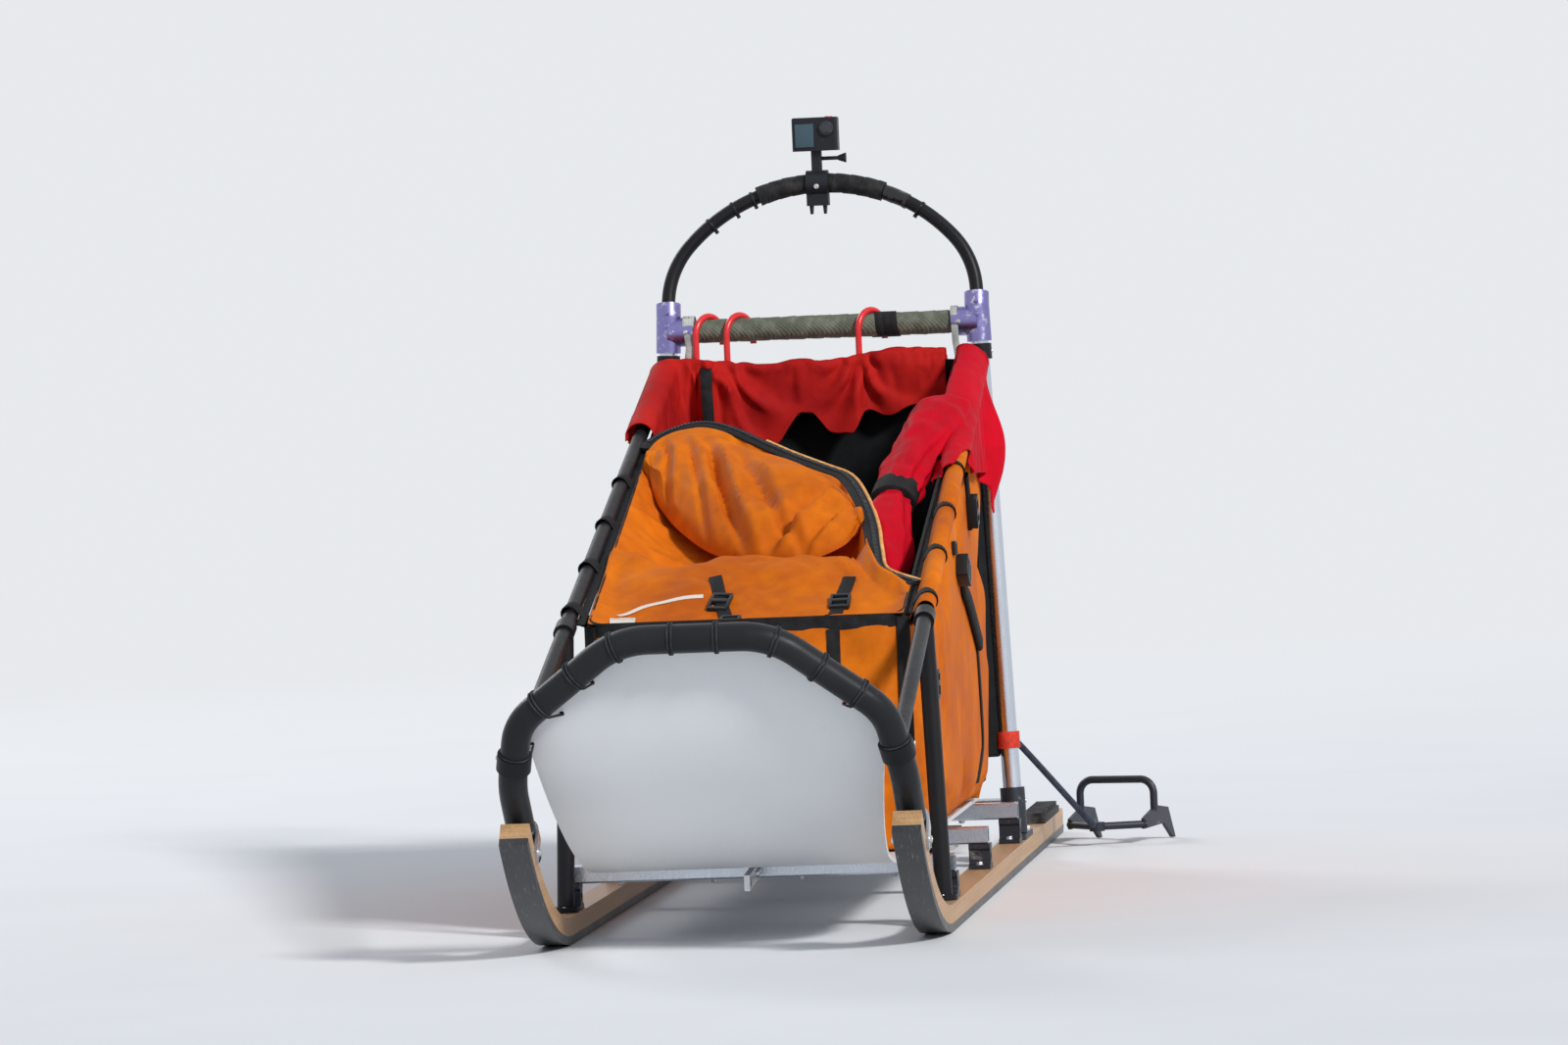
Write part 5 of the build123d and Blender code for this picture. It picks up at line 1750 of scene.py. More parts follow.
        wide, high = self.tail_flat
        section = [(a * wide, b * high) for a, b in disc(self.tail_radius, 36)]
        mesh = sweep(path, section, swell=creased)
        for vert in mesh.verts:
            over = ease(vert.co.z - self.rim.height(vert.co.y), 0.004, 0.024)
            vert.co.x = min(vert.co.x, self.tail_limit + 0.040 * over)
        split_caps(mesh)
        thing = shop.piece(mesh, "storm_flap_tail", "crimson", Slot.RED, smooth=80)
        round_off(thing)
        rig.padded(thing, fill=0.35)
        first = round(self.cuff_at * len(path)) - 2
        wide, high = self.cuff_flat
        cuff = [(a * wide, b * high) for a, b in disc(self.tail_radius * 0.93, 28)]
        mesh = sweep(path[first : first + 5], cuff)
        soften(mesh, mesh.edges, 0.0015)
        shop.piece(mesh, "storm_flap_cuff", "binding", Slot.RED, smooth=50)

    def build(self, shop: Shop) -> None:
        """Makes the flap."""
        self.leaf(shop)
        self.tail_roll(shop)


def rounded_line(corners: Sequence[Point], radii: Sequence[float], steps: int = 6) -> list[Vector]:
    """Returns a line through corners that are rounded by tangent arcs.

    Args:
        corners: The line's corners, its ends included.
        radii: The radius at each corner between the ends.
        steps: Pieces in each arc.
    """
    points = [Vector(p) for p in corners]
    line = [points[0]]
    for before, corner, after, radius in zip(points, points[1:], points[2:], radii):
        back, ahead = (before - corner).normalized(), (after - corner).normalized()
        half = back.angle(ahead) / 2
        reach = radius / math.tan(half)
        centre = corner + (back + ahead).normalized() * (radius / math.sin(half))
        start, end = corner + back * reach - centre, corner + ahead * reach - centre
        axis, turn = start.cross(end), start.angle(end)
        line += [centre + Matrix.Rotation(turn * step / steps, 3, axis) @ start for step in range(steps + 1)]
    line.append(points[-1])
    return line


def nearest_on_line(line: Sequence[Vector], point: Vector) -> tuple[Vector, Vector]:
    """Returns the line's point that is nearest to another point, and the line's direction there."""
    best = None
    for start, end in zip(line, line[1:]):
        run = end - start
        if run.length < 1e-6:
            continue
        share = min(max((point - start).dot(run) / run.length_squared, 0.0), 1.0)
        spot = start + run * share
        if best is None or (spot - point).length < (best[0] - point).length:
            best = (spot, run.normalized())
    return best


def band(
    mesh: Mesh,
    large: tuple[Vector, float],
    small: tuple[Vector, float],
    ahead: Vector,
    side: Vector,
    section: Sequence[Pair],
    steps: int = 10,
) -> None:
    """Adds a band round two circles whose plane is given by two directions.

    Args:
        mesh: The mesh that it is added to.
        large: The larger circle's centre and radius.
        small: The smaller circle's centre and radius.
        ahead: The direction from the larger circle to the smaller one.
        side: The direction across it in the band's plane.
        section: The band's section, its back on the circles.
        steps: Pieces round each circle.
    """
    (centre, radius), (far, far_radius) = large, small
    touch = math.acos((radius - far_radius) / (far - centre).length)
    path, outward = [], []
    circles = ((centre, radius, touch, math.tau - touch), (far, far_radius, -touch, touch))
    for middle, size, start, end in circles:
        for step in range(steps + 1):
            angle = start + (end - start) * step / steps
            way = ahead * math.cos(angle) + side * math.sin(angle)
            path.append(middle + way * size)
            outward.append(way)
    sweep(path, section, up=outward, closed=True, mesh=mesh)


def drum(
    mesh: Mesh, place: Vector, axis: Vector, radius: float, height: float, sides: int, edge: float
) -> None:
    """Adds a short round or many-sided head that stands on a surface, its outer edge softened.

    Args:
        mesh: The mesh that it is added to.
        place: The middle of its foot.
        axis: The way that it stands out.
        radius: Its radius over the corners.
        height: How far it stands out.
        sides: The number of its sides.
        edge: The width of its softened edge.
    """
    way = axis.normalized()
    turn = axis.to_track_quat("Z", "Y").to_matrix().to_4x4()
    matrix = Matrix.Translation(place + way * height / 2) @ turn
    made = bmesh.ops.create_cone(
        mesh, cap_ends=True, segments=sides, radius1=radius, radius2=radius, depth=height, matrix=matrix
    )
    top = place + way * height
    rim = {v for v in made["verts"] if abs((v.co - top).dot(way)) < 1e-6}
    soften(mesh, {e for v in rim for e in v.link_edges if e.other_vert(v) in rim}, edge)


def bolt(mesh: Mesh, place: Vector, axis: Vector, size: float) -> None:
    """Adds a washer, a hexagon head and the round boss on it.

    Args:
        mesh: The mesh that it is added to.
        place: The place on the surface.
        axis: The way that it stands out.
        size: The head's radius over its corners.
    """
    way = axis.normalized()
    sunk = place - way * SEAT
    drum(mesh, sunk, way, size * 1.25, 0.0014, 24, 0.0003)
    drum(mesh, sunk + way * 0.0012, way, size, size * 0.7, 6, size * 0.1)
    drum(mesh, sunk + way * (0.0010 + size * 0.7), way, size * 0.5, size * 0.16, 16, size * 0.06)


def screw(mesh: Mesh, place: Vector, axis: Vector, size: float) -> None:
    """Adds a round button head with a socket, for small screws and rivets.

    Args:
        mesh: The mesh that it is added to.
        place: The place on the surface.
        axis: The way that it stands out.
        size: The head's radius.
    """
    way = axis.normalized()
    sunk = place - way * SEAT
    drum(mesh, sunk, way, size, size * 0.5, 20, size * 0.28)
    drum(mesh, sunk + way * size * 0.48, way, size * 0.4, size * 0.06, 6, size * 0.02)


class Kind(Enum):
    """How a fastening looks."""

    BOLT = "bolt"
    SCREW = "screw"


@dataclass(frozen=True)
class Fastening:
    """One kind of fastening and the places where it sits, in millimetres on the left side."""

    name: str
    kind: Kind
    size: float
    axis: Point
    places: tuple[Point, ...]
    finish: str = "steel"
    slot: Slot = Slot.BRIGHT_STEEL
    body: Body = Body.SLED
    mirrored: bool = True


def grid(xs: Sequence[float], ys: Sequence[float], z: float) -> tuple[Point, ...]:
    """Returns the places at each x and y, at one height."""
    return tuple((x, y, z) for y in ys for x in xs)


RISER_YS = (-560.0, -40.0, 462.0)
RISER_BOLT_YS = (-577.6, -542.4, -57.6, -22.4, 444.4, 479.6)
RIVET_YS = (848, 905, 963, 1021, 1072)
FASTENINGS = (
    Fastening(
        "clamp_screws_front", Kind.SCREW, 4.2, (0, -1, 0), ((240.6, 569.3, 848), (240.4, 570.2, 869)), "joint"
    ),
    Fastening("clamp_bolts_outer", Kind.BOLT, 5.2, (1, 0, 0), ((249.9, 612.6, 824.1),)),
    Fastening("clamp_bolts_inner", Kind.BOLT, 5.2, (-1, 0, 0), ((232.9, 612.6, 824.1),)),
    Fastening("boss_screws", Kind.SCREW, 3.6, (0, -1, 0), ((212, 566.4, 838),)),
    Fastening("rail_ring_screws", Kind.SCREW, 3.4, (1, 0, 0), ((260.6, 586.5, 790), (286.8, -1104.5, 291.6))),
    Fastening("riser_bolts", Kind.BOLT, 4.6, (0, 0, 1), grid((270,), RISER_BOLT_YS, 45)),
    Fastening("beam_nuts", Kind.BOLT, 5.0, (0, 0, -1), grid((62, 196), RISER_YS, 75)),
    Fastening("foot_bolts", Kind.BOLT, 4.6, (0, 0, 1), ((270, 516, 47), (282, 604, 47), (282, 628, 47))),
    Fastening("foot_socket_screws", Kind.SCREW, 3.6, (1, 0, 0), ((287.6, 552.4, 96),)),
    Fastening("bow_clamp_bolts_outer", Kind.BOLT, 4.8, (1, 0, 0), ((294, -1029, 154.6),)),
    Fastening("bow_clamp_bolts_inner", Kind.BOLT, 4.8, (-1, 0, 0), ((246, -1029, 154.6),)),
    Fastening("upright_screws", Kind.SCREW, 2.4, (0, 0, 1), ((270, -628.3, 46), (270, -595.7, 46))),
    Fastening("footpad_screws", Kind.SCREW, 3.6, (0, 0, 1), grid((260, 280), (873.3, 1106.7), 48)),
    Fastening("link_bolts", Kind.BOLT, 5.0, (1, 0, 0), ((155, 462, 64),)),
    Fastening("mat_rod_washers", Kind.SCREW, 9.0, (1, 0, 0), ((155, 790, 19.7),)),
    Fastening("tow_bolts", Kind.BOLT, 4.4, (1, 0, 0), ((4, -583, 86), (4, -606, 84))),
    Fastening("brake_sleeve_screws", Kind.SCREW, 3.2, (0, -0.35, 1), ((88, 600.0, 101.4),), body=Body.BRAKE),
    Fastening("mat_rivets", Kind.SCREW, 4.4, (0, 0, 1), grid((46, 106), RIVET_YS, 23.7), body=Body.MAT),
)


def fasten(shop: Shop) -> None:
    """Makes every bolt, screw and rivet."""
    for row in FASTENINGS:
        mesh = bmesh.new()
        make = bolt if row.kind is Kind.BOLT else screw
        for side in (-1, 1) if row.mirrored else (1,):
            for x, y, z in row.places:
                place = Vector((side * x, y, z)) / 1000
                make(mesh, place, Vector((side * row.axis[0], row.axis[1], row.axis[2])), row.size / 1000)
        shop.piece(mesh, row.name, row.finish, row.slot, row.body, smooth=30)


@dataclass
class BrushBowLashings:
    """The cord turns that lace the bed sheet's arch to the brush bow."""

    corners: tuple[Point, ...] = (
        (0.270, -0.97356, 0.14328),
        (0.270, -1.08569, 0.24975),
        (0.252, -1.13514, 0.33782),
        (0.105, -1.18000, 0.44830),
        (0.000, -1.18000, 0.44830),
    )
    bends: tuple[float, ...] = (0.150, 0.080, 0.120)
    holes: Table = (
        (0.0310, 0.4323), (0.1010, 0.4323), (0.1473, 0.3905), (0.1937, 0.3486), (0.2400, 0.3068)
    )
    nose_centre: Pair = (-0.68735, 0.584)
    sheet_radius: float = 0.481
    pipe_radius: float = 0.020
    cord: float = 0.0015

    def build(self, shop: Shop) -> None:
        """Makes two turns of cord through each hole."""
        line = rounded_line(self.corners, self.bends)
        mesh = bmesh.new()
        for x, z in self.holes:
            up = self.nose_centre[1] - z
            y = self.nose_centre[0] - math.sqrt(self.sheet_radius**2 - up**2)
            hole = Vector((x, y, z))
            centre, run = nearest_on_line(line, hole)
            ahead = (hole - centre).normalized()
            side = run.cross(ahead).normalized()
            for mirror in (-1, 1):
                flip = Vector((mirror, 1, 1))
                for shift, tilt in ((-0.55, 0.05), (0.55, -0.05)):
                    move = run * self.cord * 2 * shift
                    slant = (ahead + run * tilt).normalized()
                    band(
                        mesh,
                        ((centre + move) * flip, self.pipe_radius + self.cord),
                        ((hole + move * 0.5) * flip, self.cord * 0.9),
                        slant * flip,
                        side * flip,
                        disc(self.cord, 10),
                    )
        shop.piece(mesh, "brush_bow_lashings", "lash", Slot.BOW, smooth=80)


@dataclass
class HandleWork:
    """The wound crossbar, the wound grip and the straps and ties on the driving bow."""

    half: float = 0.2225
    wrapped: float = 0.1985
    bar_radius: float = 0.0172
    strap_over: float = 0.0232
    pale_straps: tuple[tuple[float, float, float, float], ...] = (
        (0.205, 0.0040, 0.060, 0.006),
        (-0.212, 0.0024, 0.052, 0.014),
        (-0.204, 0.0008, 0.046, -0.006),
    )
    top_centre: float = -0.0686
    arch_radius: float = 0.2736
    tube_radius: float = 0.0105
    grip_turn: float = math.radians(20.9)
    ties: tuple[float, ...] = (-0.40, -0.52, -0.68, 0.60)

    def on_bow(self, angle: float) -> Vector:
        """Returns a point of the driving bow's axis, by its angle from the top towards the left side."""
        across = math.sin(angle) * self.arch_radius
        up = self.top_centre + math.cos(angle) * self.arch_radius
        return Vector((across, ELBOW.y + up * math.sin(BOW_LEAN), ELBOW.z + up * math.cos(BOW_LEAN)))

    def wound(self, pitch: float, step: float, rough: float, seed: float) -> Swell:
        """Returns the swelling of a bar that is wound with a band.

        Args:
            pitch: The distance from one turn of the band to the next.
            step: How far each turn stands over the one beside it, as a share of the radius.
            rough: How lumpy the band is, as a share of the radius.
            seed: What sets one winding apart from another.
        """

        def swelling(run: float, angle: float) -> float:
            """Returns the radius's factor at a place on the bar."""
            turn = (run / pitch + angle / math.tau + 0.25 * noise.noise(Vector((run * 20, seed, 0)))) % 1.0
            lump = noise.noise(Vector((run * 70, math.cos(angle) * 1.6 + seed, math.sin(angle) * 1.6)))
            return 1 + step * math.sqrt(turn) * ease(turn, 1.0, 0.94) + rough * lump

        return swelling

    def crossbar(self, shop: Shop) -> None:
        """Makes the crossbar with its olive cloth winding."""
        count = 300
        shares = [2 * i / count - 1 for i in range(count + 1)]
        path = [CROSSBAR + Vector((self.half * share, 0, 0)) for share in shares]
        winding = self.wound(0.027, 0.055, 0.035, 1.0)

        def swelling(run: float, angle: float) -> float:
            """Returns the radius's factor: plain in the clamps and wound between them."""
            from_end = min(run, 2 * self.half - run) - (self.half - self.wrapped)
            return 1 + (winding(run, angle) - 1 + 0.012) * ease(from_end, 0.0, 0.004)

        mesh = sweep(path, disc(self.bar_radius, 44), swell=swelling)
        shop.piece(mesh, "crossbar_winding", "wrap", Slot.WRAP, replaces=("crossbar",), smooth=60)

    def helix(self, start: float, end: float, turns: float, radius: float, lift: float) -> tuple[list, list]:
        """Returns a helix round the crossbar and the directions away from the bar.

        Args:
            start: The x where it starts.
            end: The x where it ends.
            turns: The number of turns.
            radius: Its radius.
            lift: The angle where it starts, from straight down.
        """
        path, outward = [], []
        count = round(turns * 24)
        for i in range(count + 1):
            angle = lift + math.tau * turns * i / count
            way = Vector((0, math.sin(angle), -math.cos(angle)))
            path.append(CROSSBAR + way * radius + Vector((start + (end - start) * i / count, 0, 0)))
            outward.append(way)
        return path, outward

    def straps(self, shop: Shop) -> None:
        """Makes the black strap that is wound on the bar and the pale straps that hang from its ends."""
        path, outward = self.helix(0.082, 0.116, 3.2, self.bar_radius + 0.0008, 0.0)
        mesh = sweep(path, tape(0.0125, 0.0018), up=outward)
        shop.piece(mesh, "bar_black_strap", "binding", Slot.WRAP, smooth=50)
        over, mesh = self.strap_over, bmesh.new()
        for x, slant, low, swing in self.pale_straps:
            spots = []
            for angle in (math.radians(turn) for turn in (140, 120, 100, 80, 60, 40)):
                spots.append(CROSSBAR + Vector((x, -math.cos(angle) * over, math.sin(angle) * over)))
            spots.append(CROSSBAR + Vector((x + swing * 0.4, -over - 0.0006, -low * 0.5)))
            spots.append(CROSSBAR + Vector((x + swing, -over + slant, -low)))
            away = [spot - CROSSBAR for spot in spots]
            outward = [Vector((0, a.y, max(a.z, -0.002))).normalized() for a in away]
            sweep(spots, tape(0.0105, 0.0016), up=outward, mesh=mesh)
        shop.piece(mesh, "bar_pale_straps", "pale_strap", Slot.WRAP, smooth=60)

    def bow_part(self, first: float, last: float, count: int) -> list[Vector]:
        """Returns points of the driving bow's axis between two angles."""
        return [self.on_bow(first + (last - first) * i / count) for i in range(count + 1)]

    def grip(self, shop: Shop) -> None:
        """Makes the wound grip, the glossy tape beside it and the ties along the bow."""
        leaning = Vector((0, -math.cos(BOW_LEAN), math.sin(BOW_LEAN)))
        path = self.bow_part(self.grip_turn, -self.grip_turn, 170)
        winding = self.wound(0.021, 0.07, 0.02, 4.0)
        mesh = sweep(path, disc(self.tube_radius + 0.0040, 36), up=leaning, swell=winding)
        shop.piece(mesh, "grip_winding", "tape", Slot.GRIP, replaces=("grip_sleeve",), smooth=60)
        path = self.bow_part(self.grip_turn * 1.02, self.grip_turn * 1.42, 30)
        winding = self.wound(0.012, 0.05, 0.10, 9.0)
        mesh = sweep(path, disc(self.tube_radius + 0.0011, 32), up=leaning, swell=winding)
        shop.piece(mesh, "bow_tape_patch", "glossy_tape", Slot.GRIP, smooth=60)
        ties = bmesh.new()
        for angle in self.ties:
            middle = self.on_bow(angle)
            along_bow = (self.on_bow(angle + 0.01) - middle).normalized()
            inward = along_bow.cross(leaning)
            turns = [math.tau * i / 28 for i in range(28)]
            outward = [inward * math.cos(turn) + leaning * math.sin(turn) for turn in turns]
            loop = [middle + way * (self.tube_radius + 0.0002) for way in outward]
            sweep(loop, tape(0.0045, 0.0014), up=outward, closed=True, mesh=ties)
            head = Matrix((along_bow, inward, leaning)).transposed().to_4x4()
            place = Matrix.Translation(middle + inward * (self.tube_radius + 0.003))
            block(ties, place @ head @ Matrix.Diagonal((0.006, 0.006, 0.005, 1)), 0.0008)
        shop.piece(ties, "bow_ties", "pipe", Slot.RAIL, smooth=40)

    def build(self, shop: Shop) -> None:
        """Makes everything that is wound on the handle."""
        self.crossbar(shop)
        self.straps(shop)
        self.grip(shop)


@dataclass
class CameraWork:
    """The small camera's lens, screen, seams and buttons."""

    front: float = 0.6261
    lens: Point = (0.014, 0.6221, 1.145)
    clamp_screw: Point = (-0.005, 0.6232, 1.0550)
    button: Point = (0.016, 0.6436, 1.1618)
    prong: Point = (0.0105, 0.6431, 1.0205)

    def panel(self, mesh: Mesh, x: Pair, z: Pair, out: float) -> None:
        """Adds a thin panel with softened edges on the camera's front.

        Args:
            mesh: The mesh that it is added to.
            x: Its left and right limits.
            z: Its lower and upper limits.
            out: How far it stands out.
        """
        middle = (sum(x) / 2, self.front - out / 2 + 0.0002, sum(z) / 2)
        size = Matrix.Diagonal((x[1] - x[0], out, z[1] - z[0], 1))
        block(mesh, Matrix.Translation(middle) @ size, out * 0.4)

    def build(self, shop: Shop) -> None:
        """Makes the panels, the lens ring, the clamp's prongs and screw, and the button."""
        ahead = Vector((0, -1, 0))
        names = ("screen", "panels", "lens_ring", "lens_glass", "clamp_prongs", "clamp_screw", "button")
        finishes = ("screen", "pipe", "dark_steel", "glass", "camera", "steel", "cane")
        meshes = [bmesh.new() for _ in names]
        screen, face, lens_ring, glass, prongs, head, button = meshes
        self.panel(screen, (-0.0355, -0.0065), (1.1160, 1.1520), 0.0012)
        self.panel(face, (-0.0375, -0.0045), (1.1135, 1.1545), 0.0008)
        centre = Vector(self.lens)
        drum(lens_ring, centre - ahead * 0.0006, ahead, 0.0112, 0.0016, 36, 0.0005)
        drum(glass, centre + ahead * 0.0006, ahead, 0.0080, 0.0010, 36, 0.0004)
        for side in (-1, 1):
            apart, y, z = self.prong
            place = Matrix.Translation((self.clamp_screw[0] + side * apart, y, z))
            block(prongs, place @ Matrix.Diagonal((0.0065, 0.017, 0.017, 1)), 0.001, (0.6, 0.8))
        screw(head, Vector(self.clamp_screw), ahead, 0.0042)
        drum(button, Vector(self.button), UP, 0.0060, 0.0014, 24, 0.0005)
        for name, finish, mesh in zip(names, finishes, meshes):
            slot = Slot.BRIGHT_STEEL if mesh is head else Slot.CAMERA
            shop.piece(mesh, f"camera_{name}", finish, slot, smooth=30)


class Lay:
    """Finds places on a finished cloth, so that straps and buckles lie on it."""

    buckle_bars = (
        (0, 0.5, 1, 0.16), (0, -0.5, 1, 0.16), (0.5, 0, 0.16, 1.1), (-0.5, 0, 0.16, 1.1),
        (0.05, 0, 0.22, 1.0),
    )

    def __init__(self, thing: Thing) -> None:
        """Reads the cloth's finished surface."""
        self.tree = BVHTree.FromObject(thing, bpy.context.evaluated_depsgraph_get())

    def hit(self, start: Vector, way: Vector) -> tuple[Vector, Vector]:
        """Returns the place and the direction away from the cloth where a ray meets it."""
        spot, normal, _, _ = self.tree.ray_cast(start, way)
        if spot is None:
            return start, -way
        return spot, normal if normal.dot(way) < 0 else -normal

    def strap(
        self, mesh: Mesh, points: Sequence[Point], way: Vector, section: Sequence[Pair]
    ) -> None:
        """Adds a strap that follows the cloth through some places.

        Args:
            mesh: The mesh that it is added to.
            points: Places in front of the cloth, which are seen along the way given.
            way: The direction in which they are moved on to the cloth.
            section: The strap's section.
        """
        spots, outward = [], []
        for point in even_points(smooth_path(points), 0.009):
            spot, normal = self.hit(point, way)
            spots.append(spot + normal * SEAT)
            outward.append(normal)
        for _ in range(3):
            spots[1:-1] = [(a + b * 2 + c) / 4 for a, b, c in zip(spots, spots[1:], spots[2:])]
        smooth = [sum(outward[max(i - 2, 0) : i + 3], Vector()).normalized() for i in range(len(outward))]
        sweep(spots, section, up=smooth, mesh=mesh)

    def buckle(self, mesh: Mesh, point: Point, way: Vector, lie: Vector, size: Point) -> None:
        """Adds a moulded buckle: a frame with a bar across it.

        Args:
            mesh: The mesh that it is added to.
            point: A place in front of the cloth.
            way: The direction in which it is moved on to the cloth.
            lie: The direction of its length.
            size: Its length, width and thickness.
        """
        spot, normal = self.hit(Vector(point), way)
        length = (lie - normal * lie.dot(normal)).normalized()
        across = normal.cross(length)
        turn = Matrix((length, across, normal)).transposed().to_4x4()
        spot = Matrix.Translation(spot + normal * (size[2] / 2 + 0.0006)) @ turn
        for ahead, beside, long, wide in self.buckle_bars:
            place = Matrix.Translation((ahead * size[0], beside * size[1], 0))
            shape = Matrix.Diagonal((long * size[0], wide * size[1], size[2], 1))
            block(mesh, spot @ place @ shape, 0.0008)


@dataclass
class BagTrim:
    """What is sewn and strapped on the bag: loops, hems, bindings, straps, buckles and strips."""

    rim: Rim = field(default_factory=Rim)
    loops: tuple[float, ...] = (-0.530, -0.345, -0.160, 0.025)
    loop_width: float = 0.026
    hem_front: float = -0.572
    sleeve_rear: float = 0.130
    gusset_low: float = 0.165
    gusset_height: float = 0.535
    beside: float = 0.40
    above: float = 0.60
    before: float = -0.80

    def rail_loops(self, shop: Shop) -> None:
        """Makes the webbing loops that hang the bag on its rails."""
        mesh = bmesh.new()
        for side, lift in ((-1, SEAT), (1, 0.0026)):
            for y in self.loops:
                rail = self.rim.axis(y, side)
                sewn = self.rim.point(side * (BAG_HALF + SEAM), y, -0.016)
                ahead = (sewn - rail).normalized()
                across = (ALONG_RAIL * Vector((side, 1, 1))).cross(ahead).normalized()
                circles = (rail, RAIL_RADIUS + lift), (sewn, 0.0014 + lift)
                band(mesh, *circles, ahead, across, tape(self.loop_width, 0.0011))
        shop.piece(mesh, "rail_loops", "binding", Slot.ORANGE, smooth=50)

    def sleeve(self, shop: Shop) -> None:
        """Makes the orange sleeve, sewn in lengths, that holds the bag's left side on its rail."""
        mesh = bmesh.new()
        edges = (self.hem_front, *self.loops, self.sleeve_rear)
        for start, end in zip(edges, edges[1:]):
            y, width = (start + end) / 2, (end - start) / ALONG_RAIL.y
            rail = self.rim.axis(y)
            reach = self.rim.point(BAG_HALF + SEAM, y, -0.022) - rail
            reach -= ALONG_RAIL * reach.dot(ALONG_RAIL)
            ahead = reach.normalized()
            across = ALONG_RAIL.cross(ahead).normalized()
            circles = (rail, RAIL_RADIUS + 0.0012), (rail + reach, 0.0016)
            band(mesh, *circles, ahead, across, tape(width, 0.0014))
        shop.piece(mesh, "rail_sleeve", "orange", Slot.ORANGE, smooth=50)

    def hems(self, shop: Shop) -> None:
        """Makes the black webbing strips between the rim and the rails."""
        mesh = bmesh.new()
        for side, rear in ((-1, 0.235), (1, 0.125)):
            path = []
            for i in range(61):
                y = self.hem_front + (rear - self.hem_front) * i / 60
                x = (BAG_HALF + self.rim.rail_x(y) - RAIL_RADIUS) / 2 + 0.0006
                sag = 0.0025 * noise.noise(Vector((y * 9, side, 0)))
                path.append(self.rim.point(side * x, y, sag - 0.003))
            sweep(path, tape(0.013, 0.0024), up=self.rim.normal(), mesh=mesh)
        shop.piece(mesh, "rim_hems", "binding", Slot.ORANGE, smooth=50)

    def corners(self, shop: Shop, walls: BagWalls) -> None:
        """Makes the bindings down the bag's four upright corners."""
        mesh = bmesh.new()
        plan = rounded_plan(BAG_HALF, BAG_FRONT, BAG_REAR, walls.corner, walls.pitch)
        rings = [walls.outline(0.03 + 0.955 * step / 30) for step in range(31)]
        for side in (-1, 1):
            for y in (BAG_FRONT, BAG_REAR):
                goal = Vector((side * BAG_HALF, y, 0))
                index = min(range(len(plan)), key=lambda i: (plan[i] - goal).length)
                outward = Vector((side, math.copysign(1, y), 0)).normalized()
                path = [points[index] + outward * 0.0012 for points in rings]
                sweep(path, tape(0.024, 0.0034), up=outward, mesh=mesh)
        shop.piece(mesh, "corner_bindings", "binding", Slot.ORANGE, smooth=50)

    def gussets(self, shop: Shop) -> None:
        """Makes the black cloth between the bag's rear corners and the stanchions."""
        for side, name in ((-1, "right"), (1, "left")):

            def place(share: float, rise: float) -> Vector:
                """Returns the gusset's point at two shares of its width and height."""
                height = self.gusset_low + rise * self.gusset_height
                up = (height - STANCHION_FOOT.z) / (ELBOW.z - STANCHION_FOOT.z)
                tube = STANCHION_FOOT.lerp(ELBOW, up)
                corner = Vector((BAG_HALF - 0.005, BAG_REAR - 0.014, height))
                edge = Vector((tube.x - STANCHION_RADIUS * 0.9, tube.y - 0.006, height))
                spot = corner.lerp(edge, share)
                wave = noise.noise(Vector((side, height * 14, 2.0)))
                spot.y += 0.006 * math.sin(share * math.pi) * wave
                return spot * Vector((side, 1, 1))

            mesh = cloth_grid(4, 44, place)
            thing = shop.piece(mesh, f"corner_gusset_{name}", "lining", Slot.ORANGE, smooth=60)
            thicken(thing, 0.0014)

    def sides(self, shop: Shop, lay: Lay) -> None:
        """Makes the straps and buckles on the bag's side walls."""
        rolled, flat, short = tape(0.024, 0.0100), tape(0.020, 0.0024), tape(0.016, 0.0060)
        lines = (
            (((0.030, 0.482), (0.150, 0.425), (0.300, 0.352)), rolled),
            (((0.300, 0.352), (0.330, 0.240), (0.335, 0.140)), flat),
            (((0.215, 0.612), (0.240, 0.560), (0.246, 0.520)), short),
            (((-0.36, 0.455), (-0.36, 0.300), (-0.36, 0.140)), flat),
        )
        fittings = (
            ((0.045, 0.476), (0.9, -0.4), (0.044, 0.030, 0.018)),
            ((0.240, 0.556), (0.3, -1), (0.040, 0.026, 0.016)),
            ((-0.006, 0.511), (1, 0), (0.020, 0.018, 0.005)),
            ((-0.360, 0.330), (0, 1), (0.036, 0.028, 0.006)),
        )
        straps, buckles = bmesh.new(), bmesh.new()
        for side in (-1, 1):
            way, out = Vector((-side, 0, 0)), side * self.beside
            for places, section in lines:
                lay.strap(straps, [(out, *place) for place in places], way, section)
            for place, lie, size in fittings:
                lay.buckle(buckles, (out, *place), way, Vector((0, *lie)), size)
        shop.piece(straps, "side_straps", "binding", Slot.ORANGE, smooth=50)
        shop.piece(buckles, "side_buckles", "pipe", Slot.ORANGE, smooth=40)

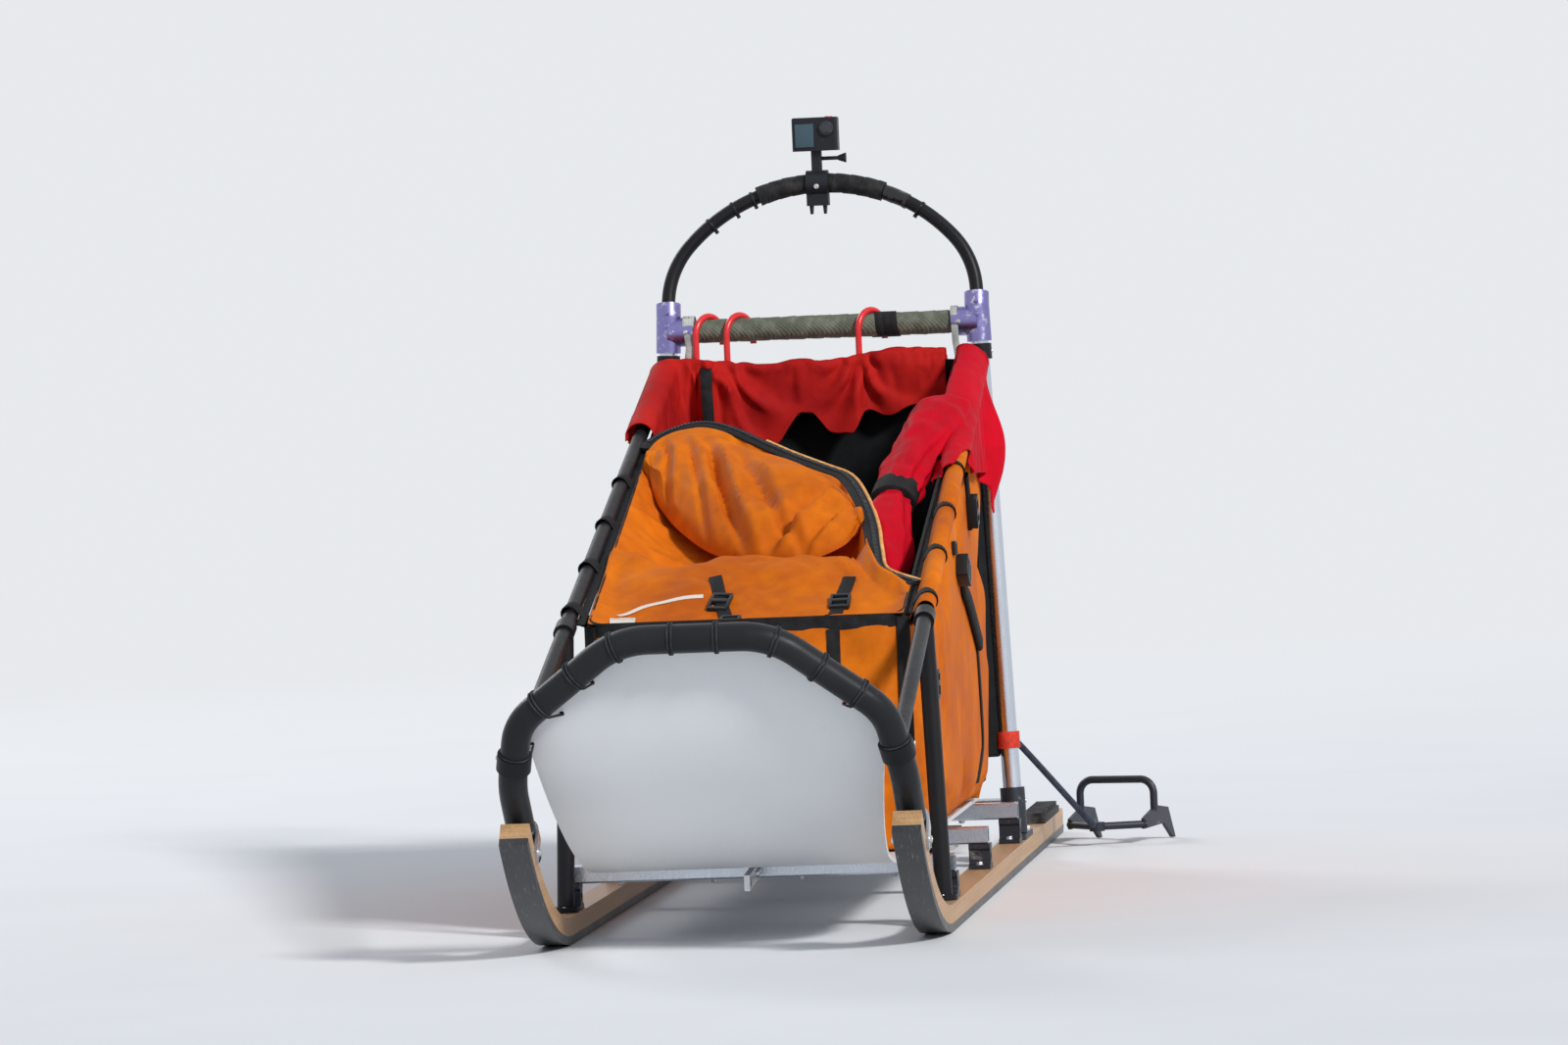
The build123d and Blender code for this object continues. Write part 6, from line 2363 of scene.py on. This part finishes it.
    def cover(self, shop: Shop, lay: Lay) -> None:
        """Makes the straps, buckles and pale strips on the cover's slanting front."""
        lines = [
            (((x - lean, -0.420), (x, -0.50), (x + lean, -0.574)), tape(0.019, 0.0024))
            for x, lean in ((-0.042, 0.018), (0.128, -0.006))
        ]
        ribbons = (
            (((-0.190, -0.524), (-0.168, -0.498), (-0.143, -0.484), (-0.068, -0.474)), tape(0.009, 0.0010)),
            (((-0.198, -0.553), (-0.178, -0.550), (-0.160, -0.549)), tape(0.040, 0.0012)),
        )
        fittings = (
            ((-0.046, -0.492), (0.1, 1), (0.044, 0.026, 0.006)),
            ((-0.026, -0.556), (0.1, 1), (0.030, 0.026, 0.006)),
            ((0.128, -0.505), (0, 1), (0.036, 0.026, 0.006)),
        )
        straps, buckles, strips = bmesh.new(), bmesh.new(), bmesh.new()
        for mesh, rows in ((straps, lines), (strips, ribbons)):
            for places, section in rows:
                lay.strap(mesh, [(*place, self.above) for place in places], DOWN, section)
        for place, lie, size in fittings:
            lay.buckle(buckles, (*place, self.above), DOWN, Vector((*lie, 0)), size)
        shop.piece(straps, "cover_straps", "binding", Slot.ORANGE, smooth=50)
        shop.piece(buckles, "cover_buckles", "pipe", Slot.ORANGE, smooth=40)
        shop.piece(strips, "cover_reflective_strips", "reflective", Slot.ORANGE, smooth=50)

    def front(self, shop: Shop, lay: Lay) -> None:
        """Makes the two straps down the bag's front wall."""
        mesh = bmesh.new()
        for x in (-0.045, 0.125):
            line = [(x, self.before, z) for z in (0.425, 0.300, 0.140)]
            lay.strap(mesh, line, Vector((0, 1, 0)), tape(0.019, 0.0024))
        shop.piece(mesh, "front_straps", "binding", Slot.ORANGE, smooth=50)

    def build(self, shop: Shop, walls: BagWalls, wall: Thing, cover: Thing) -> None:
        """Makes the trim, on the finished wall and cover and along the outline of the walls."""
        self.rail_loops(shop)
        self.sleeve(shop)
        self.hems(shop)
        self.corners(shop, walls)
        self.gussets(shop)
        bpy.context.view_layer.update()
        on_walls = Lay(wall)
        self.sides(shop, on_walls)
        self.front(shop, on_walls)
        self.cover(shop, Lay(cover))


@dataclass
class BrakeTread:
    """The ribbed rubber on the brake's foot bar."""

    centre: Pair = (0.7248, 0.1379)
    radius: float = 0.0112
    spans: Table = ((-0.098, -0.077), (-0.063, 0.063), (0.077, 0.098))
    rib_pitch: float = 0.0065
    step: float = 0.0012

    def build(self, shop: Shop) -> None:
        """Makes the sleeves between the claws."""
        mesh = bmesh.new()

        def ribbed(run: float, angle: float) -> float:
            """Returns the radius's factor along a sleeve, with a rib for each pitch."""
            return 1.09 + 0.07 * ease(math.sin(run * math.tau / self.rib_pitch), -0.3, 0.3)

        for start, end in self.spans:
            count = round((end - start) / self.step)
            path = [Vector((start + (end - start) * i / count, *self.centre)) for i in range(count + 1)]
            sweep(path, disc(self.radius, 28), swell=ribbed, mesh=mesh)
        shop.piece(mesh, "brake_tread", "rubber", Slot.RUBBER, Body.BRAKE, smooth=35)


@dataclass
class HookLine:
    """The taut line from the left stanchion's loop to the snow hook."""

    route: tuple[Point, ...] = (
        (0.2714, 0.5759, 0.1900),
        (0.2775, 0.5925, 0.1820),
        (0.3620, 0.8330, 0.0405),
        (0.3667, 0.8466, 0.0330),
    )
    diameter: float = 0.010
    length: float = 0.352

    def build(self, shop: Shop) -> Thing:
        """Makes the line and returns its curve."""
        data = bpy.data.curves.new("hook_line", "CURVE")
        data.dimensions = "3D"
        spline = data.splines.new("NURBS")
        spline.points.add(len(self.route) - 1)
        for point, place in zip(spline.points, self.route):
            point.co = (*place, 1)
        spline.order_u = 3
        spline.use_endpoint_u = True
        spline.resolution_u = 16
        data.bevel_depth = self.diameter / 2
        data.bevel_resolution = 6
        data.use_fill_caps = True
        thing = placed("taut_hook_line", data)
        shop.dress(thing, "line", Slot.LINE, replaces=("hook_line",))
        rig.cord(
            thing,
            exit=self.route[0],
            length=self.length,
            diameter=self.diameter,
            far_end="tool",
            stiffness="medium",
            lay="taut",
            with_pieces=[frame["nodes"]["snow_hook"], frame["nodes"]["line_loop"]],
        )
        return thing


def main() -> None:
    """Builds the scene in order."""
    logging.basicConfig(level=logging.INFO, format="%(message)s")
    Studio().build()
    shop = Shop()
    HookLine().build(shop)
    walls = BagWalls()
    wall = walls.build(shop)
    cover = BagCover().build(shop)
    Collar().build(shop)
    Flap().build(shop)
    BagTrim().build(shop, walls, wall, cover)
    HandleWork().build(shop)
    CameraWork().build(shop)
    BrushBowLashings().build(shop)
    BrakeTread().build(shop)
    fasten(shop)
    for finish, nodes in FINISHED_NODES.items():
        for node in nodes:
            shop.finish_node(node, finish)


def write_sizes() -> None:
    """Writes the construction's box and the visual model's box."""
    boxes = {"cad": cad_box, "visual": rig.bounds()}
    plain = {name: [list(map(float, corner)) for corner in box] for name, box in boxes.items()}
    with open("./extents.json", "w") as out:
        json.dump(plain, out)


if __name__ == "__main__":
    main()
    write_sizes()
